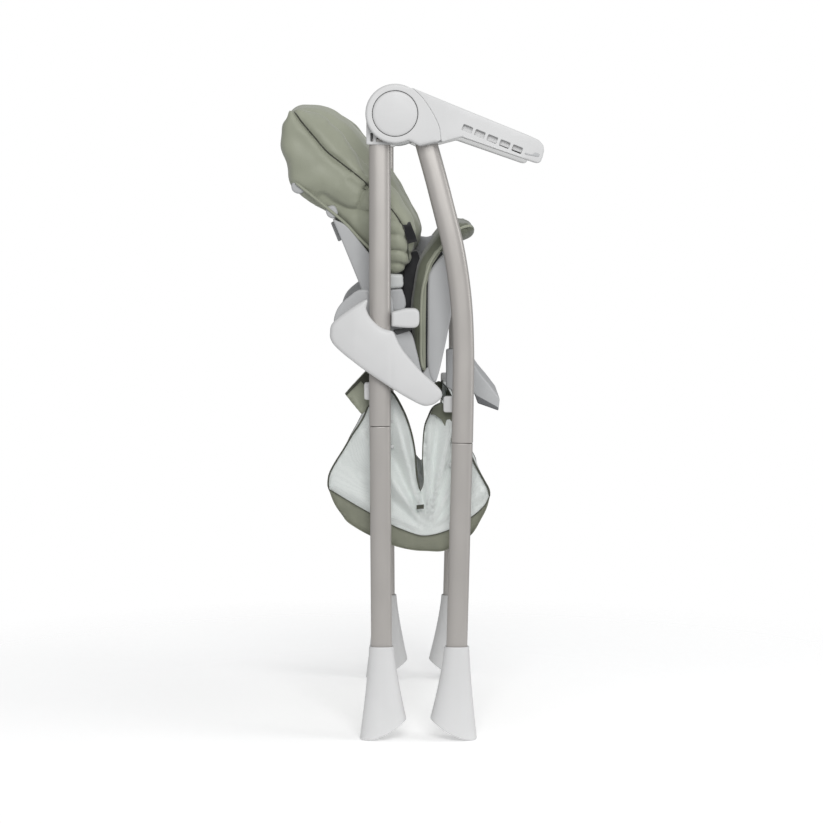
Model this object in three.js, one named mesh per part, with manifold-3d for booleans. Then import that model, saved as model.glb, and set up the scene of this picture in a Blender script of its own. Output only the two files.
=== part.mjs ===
// A folding seat on an A-frame, stood up in its folded state.
// Millimetres. +X is the front, where the rail arms point; +Y is the seated child's left; +Z is up.
// The origin is the bottom centre of the bounding box, on the floor between the four feet.
// The frame has two halves that turn on the hubs at the top: the front legs with the hub housings and
// rail arms, and the rear legs with the hub cores. The seat slides on the rear legs.
import * as THREE from "three";
import { mergeVertices } from "three/addons/utils/BufferGeometryUtils.js";
import Module from "manifold-3d";

// ---- Driving dimensions ----
const GAP = 0.4; // clearance between pieces that touch

const HUB_X = -22;
const HUB_Z = 901;
const HUB_R = 42;
const LEG_PLANE = 250; // distance of every leg's middle from the centre plane
const TUBE_DEPTH = 31; // a leg tube's section, front to back
const TUBE_WIDTH = 20; // and from side to side
const TUBE_WALL = 1.6;

const HOUSING_IN = 263; // the hub housing, from its inner to its outer face
const HOUSING_OUT = 285;
const CORE_IN = 237; // the hub core, which belongs to the rear legs
const CORE_OUT = 262;
const CAP_R = 32;
const CAP_PROUD = 3;
const AXLE_R = 5;
const LOCK_R = 17;
const PRONG_R = 1.9;
const PRONG_RING = 9.4;

const ARM_OUT = 281;
const ARM_IN = 237;
const ARM_DROP = Math.atan2(82, 202); // slope of the rail arm when the frame is folded
const SLOT_COUNT = 5;
const SLOT_DEEP = 12;

const REAR_X = -44;
const REAR_TOP = 866;
const REAR_JOIN = 455; // where the upper tube slips over the lower one
const FRONT_TOP = 866;
const FRONT_JOIN = 431;
const LEG_BOTTOM = 112;
const FOOT_TOP = 136;
const CROSS_Z = 208;
const CROSS_R = 9;

const SLIDER_X = REAR_X;
const COVER_IN = 263.4;
const COVER_OUT = 278;
const PLATE_IN = 218;
const PLATE_OUT = 236;

const SEAT_HALF = 198; // half the width of the padded seat
const BACK_PIVOT = [-37, 554];
const BACK_AXLE_R = 6;
const PAN_PIVOT = [16, 516];
const PAN_AXLE_R = 5;
const FOOTREST_PIVOT = [70, 702];
const REST_AXLE_R = 4;
const REST_HALF = 112; // half the footrest's width
const BASKET_HALF = 214;
const CLOTH = 3; // thickness of the basket's cloth, with its folds

// ---- Colours ----
const LIGHT_GREY = 0xd2d2d0;
const WARM_GREY = 0xa9a6a2;
const SHELL_GREY = 0xb0b1b0;
const SAGE = 0xadaf9f;
const DARK_SAGE = 0x7d7f71;
const MESH_WHITE = 0xd0d5d5;
const STEEL = 0xb8babd;

const wasm = await Module();
wasm.setup();
const chair = new THREE.Group();
chair.name = "folded_seat_frame";

// ---- Helpers ----
function finish(color, roughness = 0.6, metalness = 0) {
  return new THREE.MeshStandardMaterial({ color, roughness, metalness });
}

function put(name, geometry, material) {
  const mesh = new THREE.Mesh(geometry, material);
  mesh.name = name;
  chair.add(mesh);
}

// A closed geometry as a manifold solid, with only its position attribute and shared corners merged.
function solid(geometry) {
  const bare = new THREE.BufferGeometry();
  const flat = geometry.index ? geometry.toNonIndexed() : geometry;
  bare.setAttribute("position", flat.getAttribute("position"));
  const merged = mergeVertices(bare, 1e-3);
  return new wasm.Manifold(
    new wasm.Mesh({
      numProp: 3,
      vertProperties: merged.attributes.position.array,
      triVerts: new Uint32Array(merged.index.array),
    }),
  );
}

function geometryOf(manifold) {
  const mesh = manifold.getMesh();
  const geometry = new THREE.BufferGeometry();
  geometry.setAttribute("position", new THREE.BufferAttribute(mesh.vertProperties, 3));
  geometry.setIndex(new THREE.BufferAttribute(mesh.triVerts, 1));
  const flat = geometry.toNonIndexed();
  flat.computeVertexNormals();
  return flat;
}

function cut(geometry, ...tools) {
  return geometryOf(tools.reduce((body, tool) => body.subtract(solid(tool)), solid(geometry)));
}

function join(geometry, ...more) {
  return geometryOf(more.reduce((body, piece) => body.add(solid(piece)), solid(geometry)));
}

// Mirrors a geometry to the other side of the centre plane, faces still pointing out.
function mirrored(geometry) {
  const copy = geometry.index ? geometry.toNonIndexed() : geometry.clone();
  copy.scale(1, -1, 1);
  const p = copy.getAttribute("position");
  const a = new THREE.Vector3();
  const b = new THREE.Vector3();
  for (let i = 0; i < p.count; i += 3) {
    a.fromBufferAttribute(p, i + 1);
    b.fromBufferAttribute(p, i + 2);
    p.setXYZ(i + 1, b.x, b.y, b.z);
    p.setXYZ(i + 2, a.x, a.y, a.z);
  }
  copy.computeVertexNormals();
  return copy;
}

// A piece on each side: the right one at -Y is built, and the left one mirrors it.
function pair(name, build, material) {
  const right = build();
  put(name + "_right", right, material);
  put(name + "_left", mirrored(right), material);
}

// An outline in the side view, as [x, z] points, each corner rounded by the radius given.
function outline(points, radius = 0) {
  const shape = new THREE.Shape();
  const at = points.map(([x, z]) => new THREE.Vector2(x, z));
  at.forEach((corner, i) => {
    const before = at[(i + at.length - 1) % at.length];
    const after = at[(i + 1) % at.length];
    const reach = Math.min(radius, corner.distanceTo(before) / 2.1, corner.distanceTo(after) / 2.1);
    const start = corner.clone().lerp(before, reach / corner.distanceTo(before));
    const end = corner.clone().lerp(after, reach / corner.distanceTo(after));
    if (i === 0) shape.moveTo(start.x, start.y);
    else shape.lineTo(start.x, start.y);
    if (reach > 0.01) shape.quadraticCurveTo(corner.x, corner.y, end.x, end.y);
  });
  shape.closePath();
  return shape;
}

// A smooth closed outline through the points given.
function smoothOutline(points, divisions = points.length * 2) {
  const at = points.map(([x, z]) => new THREE.Vector3(x, z, 0));
  const curve = new THREE.CatmullRomCurve3(at, true, "centripetal");
  const spaced = curve.getSpacedPoints(divisions).slice(0, -1);
  return new THREE.Shape(spaced.map((p) => new THREE.Vector2(p.x, p.y)));
}

// An outline of the side view made solid between two distances y from the centre plane.
function slab(shape, yLow, yHigh, bevel = 0, curveSegments = 4) {
  const depth = yHigh - yLow - 2 * bevel;
  const geometry = new THREE.ExtrudeGeometry(shape, {
    depth,
    curveSegments,
    bevelEnabled: bevel > 0,
    bevelThickness: bevel,
    bevelSize: bevel,
    bevelOffset: -bevel,
    bevelSegments: 2,
  });
  geometry.translate(0, 0, bevel);
  geometry.rotateX(Math.PI / 2); // the outline's y becomes z, and its depth runs towards -Y
  geometry.translate(0, -yLow, 0);
  return geometry;
}

// A cylinder that lies across the chair, between two distances from the centre plane.
function disc(x, z, radius, yLow, yHigh, segments = 24) {
  const geometry = new THREE.CylinderGeometry(radius, radius, yHigh - yLow, segments);
  geometry.translate(x, -(yLow + yHigh) / 2, z);
  return geometry;
}

// The same, centred on the centre plane.
function rod(x, z, radius, halfLength, segments = 14) {
  return disc(x, z, radius, -halfLength, halfLength, segments);
}

// A flat oval with slightly boxy ends, the section of the leg tubes and feet.
function oval(spanX, spanY, segments = 14) {
  const shape = new THREE.Shape();
  for (let i = 0; i < segments; i++) {
    const angle = ((i + 0.5) / segments) * 2 * Math.PI;
    const across = Math.cos(angle);
    const along = Math.sin(angle);
    const square = 0.72; // under 1 the ellipse turns boxy
    const x = (Math.sign(across) * Math.abs(across) ** square * spanX) / 2;
    const y = (Math.sign(along) * Math.abs(along) ** square * spanY) / 2;
    if (i === 0) shape.moveTo(x, y);
    else shape.lineTo(x, y);
  }
  shape.closePath();
  return shape;
}

// A section swept along [x, z] points in the right leg plane. On a path in that plane, the extrusion
// lays the section's x across the plane and its y along it, so the oval is given width first.
function sweep(shape, points, steps) {
  const at = points.map(([x, z]) => new THREE.Vector3(x, -LEG_PLANE, z));
  const curve = at.length > 2 ? new THREE.CatmullRomCurve3(at) : new THREE.LineCurve3(at[0], at[1]);
  return new THREE.ExtrudeGeometry(shape, { steps, extrudePath: curve });
}

// A hollow leg tube, top first. slack makes it slimmer, so that it slips inside another.
function legTube(points, steps, slack = 0) {
  const shape = oval(TUBE_WIDTH - slack, TUBE_DEPTH - slack);
  shape.holes.push(oval(TUBE_WIDTH - slack - 2 * TUBE_WALL, TUBE_DEPTH - slack - 2 * TUBE_WALL));
  return sweep(shape, points, steps);
}

// The hollow that the end of a leg tube sits in.
function tubeSocket(points) {
  return sweep(oval(TUBE_WIDTH + 1, TUBE_DEPTH + 1), points, 1);
}

// ---- Leg centre lines ----
const REAR_LINE = [
  [REAR_X, REAR_TOP],
  [REAR_X, REAR_JOIN],
];
const REAR_LOWER_LINE = [
  [REAR_X, REAR_JOIN - GAP],
  [REAR_X + 2, LEG_BOTTOM],
];
const FRONT_LINE = [
  [20.5, FRONT_TOP],
  [34, 818],
  [45, 776],
  [62, 706],
  [72, 636],
  [75.5, 565],
  [75, 493],
  [74, FRONT_JOIN],
];
const FRONT_LOWER_LINE = [
  [74, FRONT_JOIN - GAP],
  [66, LEG_BOTTOM],
];

// ---- Legs ----
function makeLegs() {
  const steel = finish(WARM_GREY, 0.38, 0.25);
  pair("rear_leg_upper", () => legTube(REAR_LINE, 1), steel);
  pair("rear_leg_lower", () => legTube(REAR_LOWER_LINE, 1, 0.8), steel);
  pair("front_leg_upper", () => legTube(FRONT_LINE, 9), steel);
  pair("front_leg_lower", () => legTube(FRONT_LOWER_LINE, 1, 0.8), steel);
}

// ---- Feet ----
const SOLE_BULGE = 7;
// A flared boot: a deep oval that widens downwards and is cut off at a slant.
// heel and toe are the [x, z] corners of the slanted sole; topX is the leg's middle at the foot's top.
function footShell(topX, heel, toe) {
  const steps = 6;
  const topDepth = 36;
  const topWidth = 26;
  const flareWidth = 1.75;
  const geometry = new THREE.ExtrudeGeometry(oval(1, 1, 20), { depth: 1, steps, bevelEnabled: false });
  const p = geometry.getAttribute("position");
  for (let i = 0; i < p.count; i++) {
    const down = 1 - p.getZ(i);
    const side = p.getX(i) + 0.5; // 0 at the back edge, 1 at the front edge
    const flare = down ** 1.35;
    const back = topX - topDepth / 2 + (heel[0] - topX + topDepth / 2) * flare;
    const front = topX + topDepth / 2 + (toe[0] - topX - topDepth / 2) * flare;
    const sole = heel[1] + (toe[1] - heel[1]) * side - SOLE_BULGE * Math.sin(Math.PI * side);
    const width = topWidth * (1 + (flareWidth - 1) * flare);
    const z = FOOT_TOP + (sole - FOOT_TOP) * down;
    p.setXYZ(i, back + (front - back) * side, p.getY(i) * width - LEG_PLANE, z);
  }
  return geometry;
}

// The point of a straight leg line at a height.
function pointAt([top, bottom], z) {
  const share = (top[1] - z) / (top[1] - bottom[1]);
  return [top[0] + (bottom[0] - top[0]) * share, z];
}

// The boot with the socket that the leg tube sits in, and the hollow under its sole.
function foot(legLine, heel, toe) {
  const [topX] = pointAt(legLine, FOOT_TOP);
  const socket = tubeSocket([pointAt(legLine, FOOT_TOP + 6), pointAt(legLine, LEG_BOTTOM - 2)]);
  const low = Math.min(heel[1], toe[1]);
  const hollow = new THREE.CylinderGeometry(11, 15, 60, 12);
  hollow.rotateX(Math.PI / 2);
  hollow.translate((heel[0] + toe[0]) / 2 + 2, -LEG_PLANE, low + 26);
  return cut(footShell(topX, heel, toe), socket, hollow);
}

function makeFeet() {
  const plastic = finish(LIGHT_GREY, 0.5);
  pair("rear_foot", () => foot(REAR_LOWER_LINE, [-74, 0], [-6, 29]), plastic);
  pair("front_foot", () => foot(FRONT_LOWER_LINE, [28, 30], [96, 0]), plastic);
}

// ---- Hubs and rail arms ----
function hubHousing() {
  const profile = [
    [AXLE_R + GAP, 0],
    [HUB_R - 3, 0],
    [HUB_R, 3],
    [HUB_R, 17],
    [HUB_R - 5, HOUSING_OUT - HOUSING_IN],
    [CAP_R + 1.2, HOUSING_OUT - HOUSING_IN],
    [CAP_R + 1.2, 12],
    [AXLE_R + GAP, 12],
    [AXLE_R + GAP, 0],
  ].map(([r, y]) => new THREE.Vector2(r, y));
  const body = outwards(new THREE.LatheGeometry(profile, 28));
  const pocket = disc(HUB_X, HUB_Z, LOCK_R + 1, HOUSING_IN - 1, HOUSING_IN + 6, 24);
  return cut(body, pocket, ...prongs(PRONG_R + GAP, HOUSING_IN + 4, HOUSING_IN + 14));
}

// Three round prongs about the hub axis, or the holes they pass through.
function prongs(radius, yLow, yHigh) {
  return [0, 1, 2].map((i) => {
    const angle = (i / 3) * 2 * Math.PI;
    const x = HUB_X + PRONG_RING * Math.cos(angle);
    const z = HUB_Z + PRONG_RING * Math.sin(angle);
    return disc(x, z, radius, yLow, yHigh, 10);
  });
}

// A lathe round the hub axis, its profile's y measured outwards from the housing's inner face.
function outwards(lathe, from = HOUSING_IN) {
  lathe.rotateX(Math.PI);
  lathe.translate(HUB_X, -from, HUB_Z);
  return lathe;
}

// The round half of the rear frame's hub, with the bracket that the rear leg bolts into.
function hubCore() {
  const wheel = disc(HUB_X, HUB_Z, HUB_R - 0.5, CORE_IN, CORE_OUT, 32);
  const bracket = slab(outline([[-63, 905], [-63, 858], [-25, 858], [-25, 905]], 4), CORE_IN, CORE_OUT);
  const tubeSeat = tubeSocket([[REAR_X, REAR_TOP + 1], [REAR_X, REAR_TOP - 12]]);
  const bore = disc(HUB_X, HUB_Z, AXLE_R + GAP, CORE_IN - 5, CORE_OUT + 5, 16);
  const pocket = disc(HUB_X, HUB_Z, LOCK_R + 1, CORE_OUT - 12, CORE_OUT + 1, 24);
  return cut(join(wheel, bracket), tubeSeat, bore, pocket, bracketSlot(-56, 3, 11), bracketSlot(-47, 7, 5));
}

// A slot sunk in the outer face of the leg bracket, from its lower left corner.
function bracketSlot(x, width, height) {
  const low = 862;
  const corners = [[x, low], [x + width, low], [x + width, low + height], [x, low + height]];
  return slab(outline(corners), CORE_OUT - 1.2, CORE_OUT + 1);
}

// The rail arm: a deep root that holds the front leg, and a slotted rail with a flange below.
function railArm() {
  const ring = HUB_R + 0.8;
  const start = (38 * Math.PI) / 180;
  const stop = (-64 * Math.PI) / 180;
  const shape = new THREE.Shape();
  shape.moveTo(HUB_X + ring * Math.cos(start), HUB_Z + ring * Math.sin(start));
  shape.absarc(HUB_X, HUB_Z, ring, start, stop, true);
  const edge = [[14, 855], [45, 861], [72, 868], [176, 832]];
  edge.forEach(([x, z]) => shape.lineTo(x, z));
  shape.quadraticCurveTo(184, 829, 186.5, 839);
  shape.lineTo(188.5, 848);
  shape.quadraticCurveTo(190, 858, 181, 864);
  shape.lineTo(168, 870);
  shape.lineTo(69, 910);
  shape.lineTo(14, 932);
  shape.closePath();
  const socket = tubeSocket([[20.2, FRONT_TOP + 1], [32.5, FRONT_TOP - 42]]);
  return cut(slab(shape, ARM_IN, ARM_OUT, 2.5, 8), ...railSlots(), socket);
}

// The slots run along the rail, below its upper edge, and are open on its outer face.
function railSlots() {
  const first = [80, 879.5];
  const pitch = 19;
  const slotLength = 14.5;
  const slotHeight = 9;
  return Array.from({ length: SLOT_COUNT }, (_, i) => {
    const x = first[0] + i * pitch * Math.cos(ARM_DROP);
    const z = first[1] - i * pitch * Math.sin(ARM_DROP);
    const box = new THREE.BoxGeometry(slotLength, SLOT_DEEP * 2, slotHeight);
    box.rotateY(ARM_DROP);
    box.translate(x, -ARM_OUT, z);
    return box;
  });
}

function axlePin() {
  const shaft = disc(HUB_X, HUB_Z, AXLE_R, CORE_IN - 3, HOUSING_IN + 14, 16);
  const head = disc(HUB_X, HUB_Z, AXLE_R + 3, CORE_IN - 6, CORE_IN - GAP, 16);
  return join(shaft, head);
}

// The release button: a shallow dished cap with a rim that slides in the housing's pocket.
function hubCap() {
  const face = HOUSING_OUT + CAP_PROUD - HOUSING_IN;
  const profile = [
    [0, face - 5],
    [CAP_R - 4, face - 5],
    [CAP_R - 4, face - 8],
    [CAP_R, face - 8],
    [CAP_R, face - 3],
    [CAP_R - 3, face],
    [CAP_R - 6, face + 0.6],
    [0, face - 0.4],
  ].map(([r, y]) => new THREE.Vector2(r, y));
  return outwards(new THREE.LatheGeometry(profile, 28));
}

// The toothed plate across the hub's parting face, with the prongs that the cap pushes it by.
function lockGear() {
  const teeth = 12;
  const shape = new THREE.Shape();
  for (let i = 0; i < teeth * 4; i++) {
    const radius = i % 4 < 2 ? LOCK_R : LOCK_R - 2.5;
    const angle = ((i + 0.5) / (teeth * 4)) * 2 * Math.PI;
    const x = HUB_X + radius * Math.cos(angle);
    const z = HUB_Z + radius * Math.sin(angle);
    if (i === 0) shape.moveTo(x, z);
    else shape.lineTo(x, z);
  }
  shape.closePath();
  const plate = slab(shape, CORE_OUT - 5, HOUSING_IN + 5);
  const bore = disc(HUB_X, HUB_Z, AXLE_R + 0.8, CORE_OUT - 9, HOUSING_IN + 9, 16);
  const reach = HOUSING_OUT + CAP_PROUD - 5 - GAP;
  return cut(join(plate, ...prongs(PRONG_R, HOUSING_IN + 2, reach)), bore);
}

// A coil spring between the pocket's floor and the cap.
function capSpring() {
  const turns = 2.5;
  const radius = 14;
  const low = HOUSING_IN + 13.4;
  const high = HOUSING_OUT + CAP_PROUD - 6.4;
  const points = Array.from({ length: turns * 10 + 1 }, (_, i) => {
    const share = i / (turns * 10);
    const angle = share * turns * 2 * Math.PI;
    return new THREE.Vector3(
      HUB_X + radius * Math.cos(angle),
      -(low + (high - low) * share),
      HUB_Z + radius * Math.sin(angle),
    );
  });
  const wire = new THREE.Shape();
  wire.absarc(0, 0, 0.6, 0, 2 * Math.PI);
  return new THREE.ExtrudeGeometry(wire, {
    steps: turns * 10,
    curveSegments: 3,
    extrudePath: new THREE.CatmullRomCurve3(points),
  });
}

function makeHubs() {
  const plastic = finish(LIGHT_GREY, 0.5);
  pair("hub_housing", hubHousing, plastic);
  pair("hub_core", hubCore, finish(SHELL_GREY, 0.55));
  pair("rail_arm", railArm, plastic);
  pair("hub_axle", axlePin, finish(STEEL, 0.3, 0.9));
  pair("release_cap", hubCap, plastic);
  pair("release_spring", capSpring, finish(STEEL, 0.3, 0.9));
  pair("lock_gear", lockGear, finish(STEEL, 0.4, 0.8));
}

// ---- Cross tubes ----
function crossTube(legLine) {
  const [x] = pointAt(legLine, CROSS_Z);
  const half = LEG_PLANE - TUBE_WIDTH / 2 - GAP;
  return rod(x, CROSS_Z, CROSS_R, half, 16);
}

function makeCrossTubes() {
  const steel = finish(WARM_GREY, 0.38, 0.25);
  put("rear_cross_tube", crossTube(REAR_LOWER_LINE), steel);
  put("front_cross_tube", crossTube(FRONT_LOWER_LINE), steel);
}

// ---- Seat sliders on the rear legs ----
// The outer cover: a broad rounded back end that sweeps down and forward into a tail.
function sliderCover() {
  const shape = new THREE.Shape();
  shape.moveTo(-65, 637);
  shape.lineTo(-106, 609);
  shape.quadraticCurveTo(-117, 601, -115, 588);
  shape.quadraticCurveTo(-112, 572, -98, 562);
  shape.quadraticCurveTo(-48, 522, 10, 490);
  shape.quadraticCurveTo(24, 483, 35, 489);
  shape.quadraticCurveTo(48, 496, 44, 504);
  shape.quadraticCurveTo(36, 516, 18, 531);
  shape.quadraticCurveTo(-4, 552, -26, 592);
  shape.quadraticCurveTo(-58, 596, -62, 622);
  shape.closePath();
  return slab(shape, COVER_IN, COVER_OUT, 3, 6);
}

// The sleeve round the leg, which carries the cover, the inner plate and the height lever.
function sliderSleeve() {
  const side = outline([[-66, 589], [-66, 556], [-22, 540], [-22, 589]], 3);
  const block = slab(side, PLATE_OUT + GAP, COVER_IN - GAP);
  const section = oval(TUBE_DEPTH + 1.2, TUBE_WIDTH + 1.2);
  const bore = new THREE.ExtrudeGeometry(section, { depth: 140, bevelEnabled: false });
  bore.translate(SLIDER_X, -LEG_PLANE, 520);
  return cut(block, bore);
}

// The inner plate, whose rounded back end stands out behind the leg.
function sliderPlate() {
  const points = [[-73, 650], [-98, 632], [-111, 606], [-104, 582], [-62, 546],
    [-10, 509], [18, 498], [30, 506], [18, 526], [1, 590], [-22, 594], [-27, 642]];
  return slab(outline(points, 12), PLATE_IN, PLATE_OUT, 2, 4);
}

// The height lever: a rounded paddle in front of the leg that is pulled up to free the slider.
function heightLever() {
  const shape = new THREE.Shape();
  shape.moveTo(-20.5, 623);
  shape.lineTo(0, 625);
  shape.absarc(-1, 610, 13.5, Math.PI / 2, -Math.PI / 2, true);
  shape.lineTo(-20.5, 599);
  shape.closePath();
  return slab(shape, PLATE_OUT + 3, COVER_IN + 3, 2.5, 6);
}

function makeSliders() {
  const plastic = finish(LIGHT_GREY, 0.5);
  pair("slider_cover", sliderCover, plastic);
  pair("slider_sleeve", sliderSleeve, finish(SHELL_GREY, 0.55));
  pair("slider_plate", sliderPlate, finish(SHELL_GREY, 0.55));
  pair("height_lever", heightLever, plastic);
  const steel = finish(STEEL, 0.35, 0.8);
  put("backrest_axle", rod(BACK_PIVOT[0], BACK_PIVOT[1], BACK_AXLE_R, PLATE_IN - GAP), steel);
  put("seat_axle", rod(PAN_PIVOT[0], PAN_PIVOT[1], PAN_AXLE_R, PLATE_IN - GAP), steel);
}

// ---- Backrest ----
function backrestShell() {
  const side = [
    [-114, 752], [-97, 712], [-73, 653], [-56, 600], [-49, 566], [-38, 541], [-26, 548], [-29, 575],
    [-29, 650], [-35, 670], [-61, 693], [-97, 736],
  ];
  const inner = [
    [-99, 720], [-64, 646], [-48, 600], [-42, 574], [-15, 574], [-15, 680], [-50, 690], [-82, 740],
  ];
  const half = SEAT_HALF - 6;
  const wall = 5;
  const body = slab(outline(side, 6), -half, half);
  const hollow = slab(outline(inner, 4), -(half - wall), half - wall);
  const bore = rod(BACK_PIVOT[0], BACK_PIVOT[1], BACK_AXLE_R + GAP, SEAT_HALF + 20);
  return cut(body, hollow, bore);
}

function backrestCushion() {
  const points = [
    [-180, 905], [-154, 919], [-124, 907], [-88, 884], [-47, 840], [-8, 779], [14, 731], [5, 704], [-5, 674],
    [-28, 675], [-54, 693], [-92, 740], [-127, 770], [-168, 798], [-176, 832], [-189, 878],
  ];
  return slab(smoothOutline(points, 30), -SEAT_HALF, SEAT_HALF, 10, 4);
}

// The recline handle across the back of the shell, near its top.
function reclineHandle() {
  return slab(outline([[-115.5, 744.5], [-120, 742.5], [-108.5, 714.5], [-104, 716.5]], 2), -45, 45);
}

function makeBackrest() {
  put("backrest_shell", backrestShell(), finish(SHELL_GREY, 0.55));
  put("backrest_cushion", backrestCushion(), finish(SAGE, 0.9));
  put("recline_handle", reclineHandle(), finish(SHELL_GREY, 0.5));
}

// ---- Seat pan ----
// The shell's side cheeks are leaf-shaped, with a curved plate between them under the cushion.
function panShell() {
  const points = [
    [51, 700], [36, 683], [26, 662], [24, 600], [24, 540], [34, 514], [44, 545], [55, 592], [59, 624],
    [57, 668],
  ];
  const leaf = smoothOutline(points, 26);
  const half = SEAT_HALF - 8;
  const hinge = [[6, 516], [11, 507], [30, 506], [36, 520], [30, 534], [24, 534], [17, 526], [8, 523]];
  const knuckle = outline(hinge, 4);
  const ear = outline([[44, 694], [52, 706], [68, 712], [79, 708], [79, 696], [66, 692], [52, 682]], 4);
  const body = join(slab(leaf, -half, half), slab(knuckle, -half, half), ...ears(ear));
  const pocket = outline([[33, 668], [30, 645], [30, 560], [80, 540], [80, 668]], 4);
  const hollow = slab(pocket, -(SEAT_HALF - 14), SEAT_HALF - 14);
  const panBore = rod(PAN_PIVOT[0], PAN_PIVOT[1], PAN_AXLE_R + GAP, SEAT_HALF + 10);
  const restBore = rod(FOOTREST_PIVOT[0], FOOTREST_PIVOT[1], REST_AXLE_R + GAP, SEAT_HALF + 10);
  return cut(body, hollow, panBore, restBore);
}

// The two lugs that hold the footrest's axle, one each side of the footrest.
function ears(shape) {
  const inner = REST_HALF + 2;
  const outer = REST_HALF + 10;
  return [slab(shape, inner, outer), slab(shape, -outer, -inner)];
}

function panCushion() {
  const points = [
    [14, 532], [4, 572], [2, 620], [6, 656], [16, 691], [32, 717], [50, 740], [72, 752], [90, 749], [98, 736],
    [84, 723], [61, 714], [41, 701], [25, 679], [18, 656], [17, 600], [17, 536],
  ];
  return slab(smoothOutline(points, 30), -(SEAT_HALF - 6), SEAT_HALF - 6, 3, 4);
}

function makeSeatPan() {
  put("seat_shell", panShell(), finish(SHELL_GREY, 0.55));
  put("seat_cushion", panCushion(), finish(SAGE, 0.9));
}

// ---- Footrest ----
// A flat calf board that hangs from the pan's front edge, with a thick foot plate at its far end.
function footrest() {
  const points = [
    [64, 706], [64, 557], [52, 557], [52, 501], [63, 494], [94, 491], [99, 477], [130, 466], [132, 484],
    [116, 505], [103, 520], [94, 534], [82, 552], [76, 565], [76, 706],
  ];
  const board = slab(outline(points, 3), -REST_HALF, REST_HALF);
  const knuckle = rod(FOOTREST_PIVOT[0], FOOTREST_PIVOT[1], 8, REST_HALF - 1, 18);
  const bore = rod(FOOTREST_PIVOT[0], FOOTREST_PIVOT[1], REST_AXLE_R + GAP, REST_HALF + 5);
  return cut(join(board, knuckle), bore);
}

function makeFootrest() {
  put("footrest", footrest(), finish(SHELL_GREY, 0.55));
  const axle = rod(FOOTREST_PIVOT[0], FOOTREST_PIVOT[1], REST_AXLE_R, REST_HALF + 12);
  put("footrest_axle", axle, finish(STEEL, 0.35, 0.8));
}

// ---- Harness ----
function makeHarness() {
  const webbing = finish(DARK_SAGE, 0.9);
  const upper = [[-86, 889], [-45, 845], [-5, 785], [15, 742]];
  const lower = [[18, 743], [-2, 787], [-42, 848], [-84, 892]];
  const strap = outline([...upper, ...lower]);
  pair("shoulder_strap", () => slab(strap, 40, 64), webbing);
  const crotch = outline([[-18, 642], [-14, 600], [-4, 566], [-1, 567], [-11, 601], [-15, 642]]);
  put("crotch_strap", slab(crotch, -15, 15), webbing);
  const buckle = outline([[-27, 646], [-12, 644], [-10, 656], [-24, 661]], 3);
  put("harness_buckle", slab(buckle, -20, 20, 1.5), finish(LIGHT_GREY, 0.4));
}

// ---- Storage basket ----
// Folded, the basket hangs in two lobes with a deep notch between them. The base is the band of cloth below.
function makeBasket() {
  const sides = outline([
    [-29, 502], [-62, 482], [-82, 442], [-108, 402], [-118, 376], [-116, 361], [-60, 327], [0, 298],
    [26, 294], [56, 302], [104, 336], [112, 354], [104, 377], [84, 418], [60, 466], [44, 485], [30, 474],
    [19, 445], [17, 405], [19, 360], [12, 360], [6, 410], [-2, 446],
  ]);
  const base = outline([
    [-116, 358], [-112, 338], [-94, 315], [-60, 292], [-25, 277], [10, 270], [46, 270], [88, 292], [106, 322],
    [112, 350], [104, 333], [56, 299], [26, 291], [0, 295], [-60, 324],
  ]);
  const inside = outline([
    [-60, 510], [-60, 480], [-79, 440], [-105, 401], [-114, 376], [-112, 358], [-108, 340], [-91, 319],
    [-58, 297], [-24, 281], [10, 274], [45, 274], [86, 296], [102, 324], [108, 350], [101, 375],
    [81, 416], [57, 463], [52, 510], [42, 510], [33, 476], [22, 446], [20, 405], [22, 357],
    [9, 357], [3, 410], [-5, 445], [-34, 510],
  ]);
  const half = BASKET_HALF;
  const hollow = slab(inside, -(half - CLOTH), half - CLOTH);
  put("basket_sides", cut(slab(sides, -half, half), hollow), finish(MESH_WHITE, 0.8));
  put("basket_base", cut(slab(base, -half, half), hollow), finish(DARK_SAGE, 0.9));
}

// The clips on the legs' inner faces that the basket's corners hang from.
function makeBasketClips() {
  const plastic = finish(LIGHT_GREY, 0.5);
  const clip = (xLow, xHigh, zLow, zHigh) => () => {
    const corners = [[xLow, zLow], [xHigh, zLow], [xHigh, zHigh], [xLow, zHigh]];
    return slab(outline(corners, 4), BASKET_HALF + 13, LEG_PLANE - TUBE_WIDTH / 2 - GAP, 1.5);
  };
  pair("front_basket_clip", clip(47, 84, 474, 497), plastic);
  pair("rear_basket_clip", clip(-67, -32, 492, 517), plastic);
}

makeLegs();
makeFeet();
makeHubs();
makeCrossTubes();
makeSliders();
makeBackrest();
makeSeatPan();
makeFootrest();
makeHarness();
makeBasket();
makeBasketClips();

export default chair;
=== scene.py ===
import math

import bpy
import bmesh
import numpy as np
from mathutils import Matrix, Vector
from mathutils.bvhtree import BVHTree
from mathutils.geometry import delaunay_2d_cdt
from mathutils.noise import noise as perlin


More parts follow.
